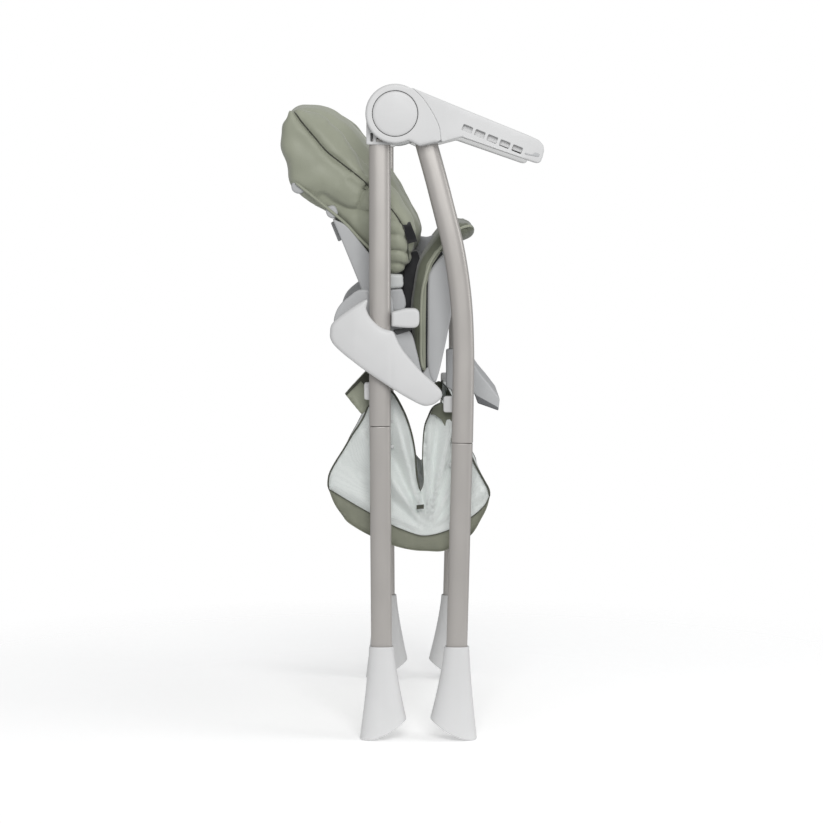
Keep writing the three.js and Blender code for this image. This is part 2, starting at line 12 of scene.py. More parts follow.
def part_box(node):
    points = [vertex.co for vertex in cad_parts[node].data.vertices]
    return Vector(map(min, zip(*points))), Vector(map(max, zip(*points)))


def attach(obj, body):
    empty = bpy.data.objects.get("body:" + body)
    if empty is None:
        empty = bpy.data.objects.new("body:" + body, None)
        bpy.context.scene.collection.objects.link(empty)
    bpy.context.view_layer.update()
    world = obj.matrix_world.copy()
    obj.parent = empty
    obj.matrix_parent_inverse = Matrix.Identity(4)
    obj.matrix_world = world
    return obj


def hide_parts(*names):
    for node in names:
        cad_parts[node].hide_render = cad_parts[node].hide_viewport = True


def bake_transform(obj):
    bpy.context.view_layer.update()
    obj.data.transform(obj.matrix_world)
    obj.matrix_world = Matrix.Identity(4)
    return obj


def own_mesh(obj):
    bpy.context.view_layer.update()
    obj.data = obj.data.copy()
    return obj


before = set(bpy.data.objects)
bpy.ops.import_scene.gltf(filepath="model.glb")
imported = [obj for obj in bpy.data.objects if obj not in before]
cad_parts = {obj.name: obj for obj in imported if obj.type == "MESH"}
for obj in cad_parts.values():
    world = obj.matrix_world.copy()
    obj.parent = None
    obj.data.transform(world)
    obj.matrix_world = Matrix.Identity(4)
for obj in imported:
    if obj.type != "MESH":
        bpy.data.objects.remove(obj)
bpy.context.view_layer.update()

MM = 0.001

# ---- Places read from the frame, in millimetres ----
def box_mm(node):
    low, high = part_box(node)
    return np.array(low) / MM, np.array(high) / MM


hub_low, hub_high = box_mm("hub_housing_right")
HUB_X = (hub_low[0] + hub_high[0]) / 2
HUB_Z = (hub_low[2] + hub_high[2]) / 2
HUB_R = (hub_high[0] - hub_low[0]) / 2
SIDES = (("right", -1), ("left", 1))
LEG_Y = -250.0
TUBE_WALL = 1.8
BASKET_HALF = 214.0


# ---- Curves in the side view, as arrays of [x, z] ----
def catmull(a, b, c, d, t):
    """A point between b and c on the curve through the four."""
    return 0.5 * (2 * b + (c - a) * t + (2 * a - 5 * b + 4 * c - d) * t**2 + (3 * b - a - 3 * c + d) * t**3)


def smooth_path(points, step=3.0, closed=False):
    """A Catmull-Rom curve through the points, resampled evenly."""
    p = np.array(points, float)
    first, last = (p[-1], p[:2]) if closed else (2 * p[0] - p[1], 2 * p[-1] - p[-2])
    ring = np.vstack([first, p, last])
    out = []
    for i in range(1, len(ring) - 2):
        out += [catmull(*ring[i - 1 : i + 3], t) for t in np.linspace(0, 1, 12, endpoint=False)]
    if not closed:
        out.append(ring[-2])
    return resample(np.array(out), step, closed)


def stations(points, count):
    """Stations spaced by the points, so that curves given point by point stay matched."""
    p = np.array(points, float)
    ring = np.vstack([2 * p[0] - p[1], p, 2 * p[-1] - p[-2]])
    out = []
    for u in np.linspace(0, len(p) - 1, count):
        i = min(int(u), len(p) - 2)
        out.append(catmull(*ring[i : i + 4], u - i))
    return np.array(out)


def resample(p, step, closed=False):
    """Points about a step apart along a polyline."""
    q = np.vstack([p, p[:1]]) if closed else p
    seg = np.linalg.norm(np.diff(q, axis=0), axis=1)
    s = np.concatenate([[0], np.cumsum(seg)])
    n = max(4, int(round(s[-1] / step)))
    at = np.linspace(0, s[-1], n + 1)
    if closed:
        at = at[:-1]
    return np.stack([np.interp(at, s, q[:, k]) for k in range(q.shape[1])], axis=1)


def fillet(before, corner, after, reach, steps):
    """The curve that cuts a corner, starting and ending reach away from it."""
    start = corner + (before - corner) / np.linalg.norm(before - corner) * reach
    end = corner + (after - corner) / np.linalg.norm(after - corner) * reach
    return [(1 - t) ** 2 * start + 2 * t * (1 - t) * corner + t**2 * end for t in np.linspace(0, 1, steps)]


def cut_corners(points, radius, share, steps):
    """The points with a fillet at each, which takes at most 1 / share of the line beside it."""
    p = np.array(points, float)
    out = []
    for i, corner in enumerate(p):
        before, after = p[i - 1], p[(i + 1) % len(p)]
        room = min(np.linalg.norm(corner - before), np.linalg.norm(corner - after)) / share
        reach = min(radius[i] if isinstance(radius, list) else radius, room)
        out += fillet(before, corner, after, reach, steps)
    return np.array(out)


def rounded(points, radius, step=2.0):
    """A closed polygon with every corner rounded by the radius, or by its own from a list."""
    return resample(cut_corners(points, radius, 2.05, 7), step, True)


def area_of(p):
    """The area of a closed polygon, negative when it runs clockwise."""
    return 0.5 * np.sum(p[:, 0] * np.roll(p[:, 1], -1) - np.roll(p[:, 0], -1) * p[:, 1])


def inside(points, poly):
    """Whether each point is inside the polygon."""
    x, z = points[:, 0], points[:, 1]
    hit = np.zeros(len(points), bool)
    for (x0, z0), (x1, z1) in zip(poly, np.roll(poly, -1, axis=0)):
        crosses = (z0 > z) != (z1 > z)
        with np.errstate(divide="ignore", invalid="ignore"):
            xi = (x1 - x0) * (z - z0) / (z1 - z0) + x0
        hit ^= crosses & (x < xi)
    return hit


def distance_to(points, path, closed=True):
    """Distance of each point to a polyline."""
    a = path
    b = np.roll(path, -1, axis=0)
    if not closed:
        a, b = path[:-1], path[1:]
    best = np.full(len(points), 1e9)
    for p, q in zip(a, b):
        d = q - p
        t = np.clip(((points - p) @ d) / max(d @ d, 1e-9), 0, 1)
        best = np.minimum(best, np.linalg.norm(points - (p + t[:, None] * d), axis=1))
    return best


# ---- Meshes ----
def new_object(name, verts, faces):
    mesh = bpy.data.meshes.new(name)
    mesh.from_pydata([tuple(v) for v in np.array(verts, float) * MM], [], [tuple(f) for f in faces])
    mesh.validate()
    obj = bpy.data.objects.new(name, mesh)
    bpy.context.scene.collection.objects.link(obj)
    tidy_mesh(obj)
    mesh.polygons.foreach_set("use_smooth", [True] * len(mesh.polygons))
    return obj


def loft(name, rings):
    """A closed skin through rings of points, its two ends filled."""
    n, last = len(rings[0]), len(rings) - 1
    faces = []
    for i in range(last):
        for k in range(n):
            m = (k + 1) % n
            faces.append((i * n + k, i * n + m, (i + 1) * n + m, (i + 1) * n + k))
    faces += [tuple(range(n)), tuple(last * n + k for k in range(n))]
    return new_object(name, [p for ring in rings for p in ring], faces)


def tangents(p):
    """Unit tangents along a line of points."""
    t = np.gradient(p, axis=0)
    return t / np.maximum(np.linalg.norm(t, axis=1), 1e-9)[:, None]


def tidy_mesh(obj, merge=1e-6):
    """Joins points closer than merge metres and turns every face outwards."""
    bm = bmesh.new()
    bm.from_mesh(obj.data)
    bmesh.ops.remove_doubles(bm, verts=bm.verts, dist=merge)
    bmesh.ops.recalc_face_normals(bm, faces=bm.faces)
    bm.to_mesh(obj.data)
    bm.free()


def mirror(obj, name):
    """A copy on the other side of the centre plane."""
    copy = obj.copy()
    copy.data = obj.data.copy()
    copy.name = name
    bpy.context.scene.collection.objects.link(copy)
    bm = bmesh.new()
    bm.from_mesh(copy.data)
    for v in bm.verts:
        v.co.y = -v.co.y
    bmesh.ops.reverse_faces(bm, faces=bm.faces)
    bm.to_mesh(copy.data)
    bm.free()
    return copy


def region(outline, spacing, rings=(), holes=()):
    """Triangulates a side-view region, with inset rings of points near its edges.
    Returns the points, the faces and each point's distance from the nearest edge."""
    loops = [outline] + list(holes)
    points = list(outline)
    edges = []
    start = 0
    for loop in loops:
        n = len(loop)
        edges += [(start + i, start + (i + 1) % n) for i in range(n)]
        if loop is not outline:
            points += list(loop)
        start += n
    extra = []
    for loop in loops:
        tangent = np.roll(loop, -1, axis=0) - np.roll(loop, 1, axis=0)
        tangent /= np.maximum(np.linalg.norm(tangent, axis=1), 1e-9)[:, None]
        normal = np.stack([-tangent[:, 1], tangent[:, 0]], axis=1)
        if (area_of(loop) < 0) != (loop is not outline):
            normal = -normal
        for inset in rings:
            q = loop + normal * inset
            far = np.min([distance_to(q, other) for other in loops], axis=0)
            extra.append(q[far > inset * 0.93])
    low, high = outline.min(axis=0), outline.max(axis=0)
    gx, gz = np.meshgrid(np.arange(low[0], high[0], spacing), np.arange(low[1], high[1], spacing * 0.87))
    gx[1::2] += spacing / 2
    grid = np.stack([gx.ravel(), gz.ravel()], axis=1)
    clear = (max(rings) if rings else 0) + spacing * 0.45
    grid = grid[np.min([distance_to(grid, loop) for loop in loops], axis=0) > clear]
    extra.append(grid)
    extra = np.vstack([e for e in extra if len(e)])
    ok = inside(extra, outline)
    for hole in holes:
        ok &= ~inside(extra, hole)
    extra = extra[ok]
    points = np.vstack([np.array(points), extra])
    out = delaunay_2d_cdt([Vector(p) for p in points], edges, [], 0, 1e-4)
    verts = np.array([tuple(v) for v in out[0]])
    mid = np.array([verts[list(f)].mean(axis=0) for f in out[2]])
    keep = inside(mid, outline)
    for hole in holes:
        keep &= ~inside(mid, hole)
    faces = [f for f, k in zip(out[2], keep) if k]
    depth = np.min([distance_to(verts, loop) for loop in loops], axis=0)
    return verts, faces, depth


def puff(name, outline, y_in, y_out, radius, dome=0.0, spacing=6.0, holes=(), warp=None, radius_in=None,
         crisp=()):
    """A plate with rounded edges, from y_in to y_out away from the centre plane, on the right side of it.
    warp moves its outer face, holes go through it, and edges along the crisp lines stay sharp."""
    angles = np.radians([20, 40, 60, 78])
    rings = [radius * (1 - math.cos(a)) for a in angles] + [radius]
    verts, faces, depth = region(np.array(outline), spacing, rings, holes)
    round_in = radius if radius_in is None else radius_in
    round_out = np.full(len(verts), float(radius))
    for line in crisp:
        near = np.clip((distance_to(verts, np.array(line, float), closed=False) - 3) / 7, 0, 1)
        round_out = np.minimum(round_out, 0.6 + (radius - 0.6) * near)

    def rise(r):
        share = np.clip(depth / np.maximum(r, 1e-6), 0, 1)
        return r * (1 - np.sqrt(np.clip(1 - (1 - share) ** 2, 0, 1)))

    swell = dome * (1 - (1 - np.clip(depth / 25.0, 0, 1)) ** 2)
    outer = y_out - rise(round_out) + swell
    inner = y_in + rise(round_in)
    if warp is not None:
        outer = outer + warp(verts, depth)
    n = len(verts)
    all_verts = [(x, -y, z) for face in (outer, inner) for (x, z), y in zip(verts, face)]
    all_faces = list(faces) + [tuple(reversed([i + n for i in f])) for f in faces]
    count = {}
    for f in faces:
        for a, b in zip(f, f[1:] + f[:1]):
            count[(a, b)] = count.get((a, b), 0) + 1
    for a, b in count:
        if (b, a) not in count:
            all_faces.append((b, a, a + n, b + n))
    return new_object(name, all_verts, all_faces)


def lathe(name, profile, centre=(HUB_X, HUB_Z), steps=96):
    """Turns [radius, y] points about an axis across the object, on the right side."""
    verts, faces = [], []
    n = len(profile)
    for i in range(steps):
        a = 2 * math.pi * i / steps
        j = (i + 1) % steps
        verts += [(centre[0] + r * math.cos(a), -y, centre[1] + r * math.sin(a)) for r, y in profile]
        for k in range(n):
            m = (k + 1) % n
            faces.append((i * n + k, j * n + k, j * n + m, i * n + m))
    return new_object(name, verts, faces)


def oval(depth, width, n=40, square=0.72):
    """A flat oval about the origin, squarer as square goes down."""
    a = (np.arange(n) + 0.5) / n * 2 * np.pi
    x = np.sign(np.cos(a)) * np.abs(np.cos(a)) ** square * depth / 2
    y = np.sign(np.sin(a)) * np.abs(np.sin(a)) ** square * width / 2
    return np.stack([x, y], axis=1)


def sweep(name, p, depth, width):
    """A hollow flat-oval tube along [x, z] points, with its two ends rounded over."""
    section, small, bore = [oval(depth - less, width - less) for less in (0, 1.0, 2 * TUBE_WALL)]
    lip = [(8, bore), (0, bore), (0, small), (0.5, section), (0.9, section), (1.6, section)]
    t = tangents(p)
    rows = [(p[0] + t[0] * d, t[0], s) for d, s in lip]
    rows += [(at, way, section) for at, way in zip(p[1:-1], t[1:-1])]
    rows += [(p[-1] - t[-1] * d, t[-1], s) for d, s in reversed(lip)]
    rings = [[(x - u * tz, LEG_Y + v, z + u * tx) for u, v in s] for (x, z), (tx, tz), s in rows]
    return loft(name, rings)


def tube(name, points, radius, sides=10, taper=True):
    """A round tube through points in space, its ends closed. radius is one value or one for each point."""
    p = np.array(points, float)
    radii = np.full(len(p), 1.0) * radius
    if taper:
        radii[[0, -1]] *= 0.55
    rings = []
    for at, t, r in zip(p, tangents(p), radii):
        a = np.cross(t, (0, 1.0, 0))
        if np.linalg.norm(a) < 1e-3:
            a = np.array([1.0, 0, 0])
        a /= np.linalg.norm(a)
        b = np.cross(t, a)
        turns = [2 * math.pi * k / sides for k in range(sides)]
        rings.append([at + r * (math.cos(u) * a + math.sin(u) * b) for u in turns])
    return loft(name, rings)


def ribbon(name, centre, width_dir, width, thickness=1.2):
    """A flat strap along points in space, with slightly thinner edges."""
    p = np.array(centre, float)
    w = np.array(width_dir, float)
    w /= np.linalg.norm(w)
    normal = np.cross(tangents(p), w)
    normal /= np.linalg.norm(normal, axis=1)[:, None]
    top = [(-0.5, 0.35), (-0.46, 1), (-0.2, 1), (0.2, 1), (0.46, 1), (0.5, 0.35)]
    loop = top + [(u, -v) for u, v in reversed(top)]
    rings = [[at + w * u * width + n * v * thickness / 2 for u, v in loop] for at, n in zip(p, normal)]
    return loft(name, rings)


# ---- Materials ----
def linear(rgb):
    """A display colour from 0 to 255 as Blender's linear colour."""
    out = []
    for c in rgb:
        c = c / 255
        out.append(c / 12.92 if c <= 0.04045 else ((c + 0.055) / 1.055) ** 2.4)
    return (*out, 1.0)


def base_material(name, rgb, roughness, **sockets):
    mat = bpy.data.materials.new(name)
    mat.use_nodes = True
    shader = mat.node_tree.nodes["Principled BSDF"]
    shader.inputs["Base Color"].default_value = linear(rgb)
    shader.inputs["Roughness"].default_value = roughness
    for socket, value in sockets.items():
        shader.inputs[socket].default_value = value
    return mat, mat.node_tree, shader


def node(tree, kind, **values):
    """A new node; each value goes to the input of that name, or else to the node's own setting."""
    n = tree.nodes.new(kind)
    for key, value in values.items():
        if key in n.inputs:
            n.inputs[key].default_value = value
        else:
            setattr(n, key.lower().replace(" ", "_"), value)
    return n


def texture(tree, vector, kind, **values):
    tex = node(tree, kind, **values)
    tree.links.new(vector, tex.inputs["Vector"])
    return tex


def ramp(tree, shader, value, low, high, rgb_low, rgb_high):
    """Colours the shader from a value, between two colours."""
    stops = tree.nodes.new("ShaderNodeValToRGB")
    for stop, position, rgb in zip(stops.color_ramp.elements, (low, high), (rgb_low, rgb_high)):
        stop.position, stop.color = position, linear(rgb)
    tree.links.new(value, stops.inputs["Fac"])
    tree.links.new(stops.outputs["Color"], shader.inputs["Base Color"])


def coords(tree, stretch=(1, 1, 1)):
    source = tree.nodes.new("ShaderNodeTexCoord")
    mapping = tree.nodes.new("ShaderNodeMapping")
    mapping.inputs["Scale"].default_value = stretch
    tree.links.new(source.outputs["Object"], mapping.inputs["Vector"])
    return mapping.outputs["Vector"]


def vary_colour(tree, shader, vector, rgb_a, rgb_b, scale, detail=4, low=0.35, high=0.65):
    tex = texture(tree, vector, "ShaderNodeTexNoise", Scale=scale, Detail=detail)
    ramp(tree, shader, tex.outputs["Fac"], low, high, rgb_a, rgb_b)


def vary_roughness(tree, shader, vector, low, high, scale):
    tex = texture(tree, vector, "ShaderNodeTexNoise", Scale=scale, Detail=3)
    limits = {"From Min": 0.3, "From Max": 0.7, "To Min": low, "To Max": high}
    span = node(tree, "ShaderNodeMapRange", **limits)
    tree.links.new(tex.outputs["Fac"], span.inputs["Value"])
    tree.links.new(span.outputs["Result"], shader.inputs["Roughness"])


def bump(tree, shader, heights, strength=0.3, distance=0.0003):
    """heights is a list of (socket, weight)."""
    total = None
    for socket, weight in heights:
        scaled = node(tree, "ShaderNodeMath", Operation="MULTIPLY")
        scaled.inputs[1].default_value = weight
        tree.links.new(socket, scaled.inputs[0])
        if total is None:
            total = scaled.outputs[0]
            continue
        add = node(tree, "ShaderNodeMath", Operation="ADD")
        tree.links.new(total, add.inputs[0])
        tree.links.new(scaled.outputs[0], add.inputs[1])
        total = add.outputs[0]
    b = node(tree, "ShaderNodeBump", Strength=strength, Distance=distance)
    tree.links.new(total, b.inputs["Height"])
    tree.links.new(b.outputs["Normal"], shader.inputs["Normal"])


def plastic(name, rgb_a, rgb_b, rough):
    """Moulded plastic with a fine spark-eroded grain and faint flow marks."""
    mat, tree, shader = base_material(name, rgb_a, rough, **{"Specular IOR Level": 0.4})
    vector = coords(tree)
    vary_colour(tree, shader, vector, rgb_a, rgb_b, 9, 3)
    vary_roughness(tree, shader, vector, rough - 0.07, rough + 0.07, 35)
    grain = texture(tree, vector, "ShaderNodeTexNoise", Scale=1500, Detail=2)
    flow = texture(tree, vector, "ShaderNodeTexNoise", Scale=60, Detail=2)
    bump(tree, shader, [(grain.outputs["Fac"], 1.0), (flow.outputs["Fac"], 0.8)], 0.12, 0.0002)
    return mat


def paint(name, rgb_a, rgb_b):
    """Satin powder paint on steel, with the slight orange peel of the coat."""
    coat = {"Metallic": 0.35, "Specular IOR Level": 0.5, "Coat Weight": 0.1, "Coat Roughness": 0.3}
    mat, tree, shader = base_material(name, rgb_a, 0.36, **coat)
    vector = coords(tree, (1, 1, 0.35))
    vary_colour(tree, shader, vector, rgb_a, rgb_b, 14, 4)
    vary_roughness(tree, shader, vector, 0.31, 0.41, 50)
    peel = texture(tree, vector, "ShaderNodeTexNoise", Scale=700, Detail=3)
    bump(tree, shader, [(peel.outputs["Fac"], 1.0)], 0.1, 0.00015)
    return mat


def leatherette(name, rgb_a, rgb_b, rough=0.52):
    """Coated seat fabric: a fine pebbled grain, soft sheen and slow colour drift."""
    mat, tree, shader = base_material(
        name, rgb_a, rough, **{"Sheen Weight": 0.25, "Sheen Roughness": 0.45, "Specular IOR Level": 0.35}
    )
    vector = coords(tree)
    vary_colour(tree, shader, vector, rgb_a, rgb_b, 16, 5)
    vary_roughness(tree, shader, vector, rough - 0.06, rough + 0.08, 60)
    pebble = texture(tree, vector, "ShaderNodeTexVoronoi", Scale=620)
    fine = texture(tree, vector, "ShaderNodeTexNoise", Scale=1300, Detail=3)
    soft = texture(tree, vector, "ShaderNodeTexNoise", Scale=45, Detail=4)
    heights = [(pebble.outputs["Distance"], 0.7), (fine.outputs["Fac"], 0.35), (soft.outputs["Fac"], 2.2)]
    bump(tree, shader, heights, 0.35, 0.0005)
    return mat


def woven(name, rgb_a, rgb_b, pitch, rough=0.85, strength=0.5):
    """A plain weave from two crossed waves, thread by thread."""
    mat, tree, shader = base_material(name, rgb_a, rough, **{"Sheen Weight": 0.3, "Sheen Roughness": 0.5})
    vector = coords(tree)
    vary_colour(tree, shader, vector, rgb_a, rgb_b, 60, 5, 0.3, 0.7)
    turns = 1 / (pitch * MM)
    waves = []
    for direction in ("X", "Y", "Z"):
        wave = texture(tree, vector, "ShaderNodeTexWave", Scale=turns / 3.1, Distortion=0.6, Detail=1)
        wave.bands_direction = direction
        waves.append((wave.outputs["Fac"], 1.0))
    bump(tree, shader, waves, strength, 0.0004)
    return mat


def net(name, thread, hole, pitch):
    """Spacer mesh: rows of round holes, darker and sunk, on a bright knitted ground."""
    mat, tree, shader = base_material(
        name, thread, 0.75,
        **{"Sheen Weight": 0.2, "Sheen Roughness": 0.5, "Subsurface Weight": 0.4, "Subsurface Scale": 0.004,
           "Subsurface Radius": (1, 1, 1)}
    )
    vector = coords(tree)
    cell = texture(tree, vector, "ShaderNodeTexVoronoi", Scale=1 / (pitch * MM), Randomness=0.25)
    ramp(tree, shader, cell.outputs["Distance"], 0.24, 0.42, hole, thread)
    knit = texture(tree, vector, "ShaderNodeTexNoise", Scale=1800, Detail=2)
    bump(tree, shader, [(cell.outputs["Distance"], 1.6), (knit.outputs["Fac"], 0.3)], 0.2, 0.0004)
    return mat


LIGHT = plastic("light_grey_plastic", (210, 210, 210), (205, 205, 205), 0.42)
SHELL = plastic("shell_grey_plastic", (184, 185, 186), (178, 179, 180), 0.45)
# painted shade: a dark copy of the shell plastic for the downward-facing underside of the foot plate
UNDERSIDE_SHADE = plastic("foot_plate_underside", (104, 105, 107), (97, 98, 100), 0.5)
# painted shade: dark grey put where recesses and gaps lie in shade
RECESS_SHADE = plastic("recess_painted_shade", (92, 92, 92), (84, 84, 85), 0.6)
PAINT = paint("warm_grey_paint", (180, 176, 172), (175, 171, 167))
# grey guard plastic, made darker than the shell as painted shade, since the guard sits deep between the
# folded parts
GUARD_SHADED = plastic("crotch_guard_shaded_plastic", (156, 157, 159), (150, 151, 153), 0.5)
STEEL = paint("zinc_steel", (176, 178, 180), (168, 170, 172))
SAGE = leatherette("sage_cover_fabric", (157, 160, 143), (150, 153, 136))
# painted shade: a darker copy of the sage cover fabric, for the seat pad and the basket sleeves that sit in
# shade
SAGE_SHADED = leatherette("sage_fabric_painted_shade", (108, 111, 96), (100, 103, 89))
TRIM = woven("dark_binding_tape", (76, 78, 66), (68, 70, 59), 0.9)
THREAD = woven("seam_thread", (70, 72, 60), (62, 64, 53), 0.6)
BASE = woven("basket_base_cloth", (136, 138, 122), (127, 129, 114), 1.1)
NET = net("basket_net", (226, 231, 228), (212, 218, 215), 1.8)
TAG = woven("blank_label_cloth", (16, 16, 21), (12, 12, 17), 0.6)
# painted shade: near-black cloth put where the folded seat's interior and the gap beside its shell lie in
# deep shade
INTERIOR_SHADE = leatherette("seat_interior_painted_shade", (40, 40, 42), (34, 34, 37), 0.7)
WEB = woven("harness_webbing", (126, 128, 116), (118, 120, 108), 1.4)
SNAP = plastic("snap_white", (205, 207, 206), (198, 200, 199), 0.4)


def paint_with(obj, mat):
    obj.data.materials.clear()
    obj.data.materials.append(mat)


def dress(obj, mat, body, replaces=None, slot=None):
    """Gives a piece its material and body, and hides the CAD node that it stands for. slot is not used."""
    paint_with(obj, mat)
    if body:
        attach(obj, body)
    if replaces:
        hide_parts(replaces)
    return obj


def both_sides(obj, mat, body, replaces=None, slot=None):
    """Dresses a right piece and its mirror image. body and replaces may hold {side}."""
    left = mirror(obj, obj.name.replace("_right", "_left"))
    for piece, side in ((obj, "right"), (left, "left")):
        stands_for = replaces and replaces.format(side=side)
        dress(piece, mat, body.format(side=side), stands_for, slot)
    return obj, left


def plate(name, mat, body, points, span, corner, step, edge, spacing=6.0, replaces=None, slot=None, **more):
    """A dressed plate with rounded corners and edges. One named _right gets its mirror image."""
    obj = puff(name, rounded(points, corner, step), *span, edge, spacing=spacing, **more)
    finish = both_sides if name.endswith("_right") else dress
    return finish(obj, mat, body, replaces, slot)


# ---- Legs ----
REAR_LEG = ([(-44, 866), (-44, 455.6)], [(-44, 454.8), (-42, 112)])
FRONT_LEG = ([(20.5, 866), (34, 818), (45, 776), (62, 706), (72, 636), (75.5, 565), (75, 493), (74, 431.6)],
             [(74, 430.8), (66, 112)])


def make_legs():
    for end, legs in (("rear", REAR_LEG), ("front", FRONT_LEG)):
        for part, points, depth, width in zip(("upper", "lower"), legs, (31, 30.4), (20, 19.4)):
            line = smooth_path(points, 8) if len(points) > 2 else resample(np.array(points), 12)
            leg = sweep(f"{end}_tube_{part}_right", line, depth, width)
            both_sides(leg, PAINT, end + "_frame", f"{end}_leg_{part}_{{side}}")


def boot(name, top_x, heel, toe):
    """A flared boot with a slanted sole, a rolled lip at the top and a hollow below."""
    top_z, top_depth, top_width, flare_width, bulge = 136.0, 36.0, 26.0, 1.75, 7.0
    ring = oval(1, 1, 64, 0.78)

    def place(down, grow, lift):
        flare = down**1.35
        out = []
        for u, v in ring:
            side = u + 0.5
            back = top_x - top_depth / 2 + (heel[0] - top_x + top_depth / 2) * flare - grow
            front = top_x + top_depth / 2 + (toe[0] - top_x - top_depth / 2) * flare + grow
            sole = heel[1] + (toe[1] - heel[1]) * side - bulge * math.sin(math.pi * side)
            width = top_width * (1 + (flare_width - 1) * flare) + 2 * grow
            z = top_z + (sole - top_z) * down + lift
            out.append((back + (front - back) * side, LEG_Y + v * width, z))
        return out

    levels = [(0.10, -2.6, 0), (0.0, -2.4, -0.2), (0.0, -1.1, 0), (0.006, -0.2, 0), (0.02, 0, 0)]
    levels += [(d, 0, 0) for d in np.linspace(0.06, 0.975, 26)]
    levels += [(0.992, -0.3, 0), (1.0, -1.2, 0), (0.998, -2.6, 0.4), (0.95, -3.0, 0), (0.72, -3.0, 0)]
    return loft(name, [place(*level) for level in levels])


def make_feet():
    for end, top_x, heel, toe in (("rear", -42.14, (-74, 0), (-6, 29)), ("front", 66.6, (28, 30), (96, 0))):
        foot = boot(end + "_boot_right", top_x, heel, toe)
        both_sides(foot, LIGHT, end + "_frame", end + "_foot_{side}")
    for end, x, low in (("rear", -41, 30), ("front", 64, 34)):
        outline = rounded([(-236, 128), (-229.6, 78), (-228.2, low), (-236, low)], 2)
        rib = puff(end + "_boot_rib_right", outline, -1.2, 1.2, 1.0, spacing=9)
        for v in rib.data.vertices:
            v.co = Vector((x * MM + v.co.y, v.co.x, v.co.z))
        tidy_mesh(rib)
        both_sides(rib, LIGHT, end + "_frame")


# ---- Hubs and rail arms ----
PARTING = [(2.6, 937), (17.6, 922), (30.4, 903), (40, 883), (42.7, 864)]


def arc(centre, radius, start, stop, count):
    """Points [x, z] on an arc, its angles in degrees."""
    return [(centre[0] + radius * math.cos(a), centre[1] + radius * math.sin(a))
            for a in np.radians(np.linspace(start, stop, count))]


def make_hubs():
    around = arc((HUB_X, HUB_Z), HUB_R, 58, 296, 70)
    parting = smooth_path(PARTING, 2.0)
    outline = np.vstack([around, [(12, 855.5), (38, 861.4)], parting[::-1]])
    hole = np.array(arc((HUB_X, HUB_Z), 32.6, 0, 355, 72))
    housing = puff("hub_ring_right", resample(outline, 1.8, True), 263.2, 284.6, 4.5, holes=[hole],
                   radius_in=1.0, crisp=[parting, np.vstack([hole, hole[:1]])])
    both_sides(housing, LIGHT, "front_frame", "hub_housing_{side}")
    dome = [(r, 286.0 - 1.3 * (r / 31.0) ** 2) for r in (0, 6, 12, 18, 23, 27, 29.6)]
    rim = [(31.2, 284.2), (31.8, 283.1), (31.8, 279.2), (27, 279.2), (27, 282.6), (0, 282.6)]
    both_sides(lathe("release_button_right", dome + rim), LIGHT, "release_{side}", "release_cap_{side}")


def make_release_springs():
    """A flat coil under each release button, built at rest; the real one flattens as the button goes in,
    which nothing here does.
    """
    inner, outer, radius, thread, turns, steps, pressed = 276.6, 280.4, 14.0, 0.8, 2.5, 70, 0.45
    angles, heights = np.linspace(0, 2 * math.pi * turns, steps), np.linspace(inner, outer, steps)
    for side, y in SIDES:
        line = [(HUB_X + radius * math.cos(a), y * h, HUB_Z + radius * math.sin(a))
                for a, h in zip(angles, heights)]
        coil = tube("release_coil_" + side, line, thread, 8, taper=False)
        dress(coil, STEEL, "front_frame", "release_spring_" + side)
        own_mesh(coil)


def make_hub_cores():
    disc = cut_corners([(6, 237.2), (HUB_R - 0.6, 237.2), (HUB_R - 0.6, 261.8), (6, 261.8)], 2.0, 2.1, 5)
    both_sides(lathe("hub_inner_disc_right", disc), SHELL, "rear_frame", "hub_core_{side}")
    windows = [rounded([(-57, 862), (-53.4, 862), (-53.4, 874), (-57, 874)], 0.5, 1.0),
               rounded([(-48.6, 862), (-39.6, 862), (-39.6, 867.4), (-48.6, 867.4)], 0.5, 1.0)]
    bracket = [(-63, 903), (-63, 857.6), (-25.5, 857.6), (-25.5, 903)]
    plate("leg_bracket_right", LIGHT, "rear_frame", bracket, (238, 262.4), 2.2, 1.8, 1.4, holes=windows)
    # a dark sheet behind the bracket's windows, painted shade of the recess
    recess = [(-59, 876), (-59, 860), (-37, 860), (-37, 876)]
    plate("leg_bracket_recess_right", RECESS_SHADE, "rear_frame", recess, (250, 258.5), 1.0, 2.0, 0.5)


def arm_slots():
    slope, pitch, half_long, half_high = math.atan2(82, 202), 19, 7.25, 4.5
    cos, sin = math.cos(slope), math.sin(slope)
    out = []
    for i in range(5):
        cx, cz = 80 + i * pitch * cos, 879.5 - i * pitch * sin
        corners = [(su * half_long, sv * half_high) for su, sv in ((-1, -1), (1, -1), (1, 1), (-1, 1))]
        turned = [(cx + u * cos + v * sin, cz - u * sin + v * cos) for u, v in corners]
        out.append(rounded(turned, 1.2, 1.4))
    return out


RAIL = [(45, 861), (72, 868), (176, 832), (180.5, 831.3), (184, 833.5), (186.5, 840), (188.6, 849),
        (187.6, 856.5), (181, 864), (168, 870), (69, 910)]


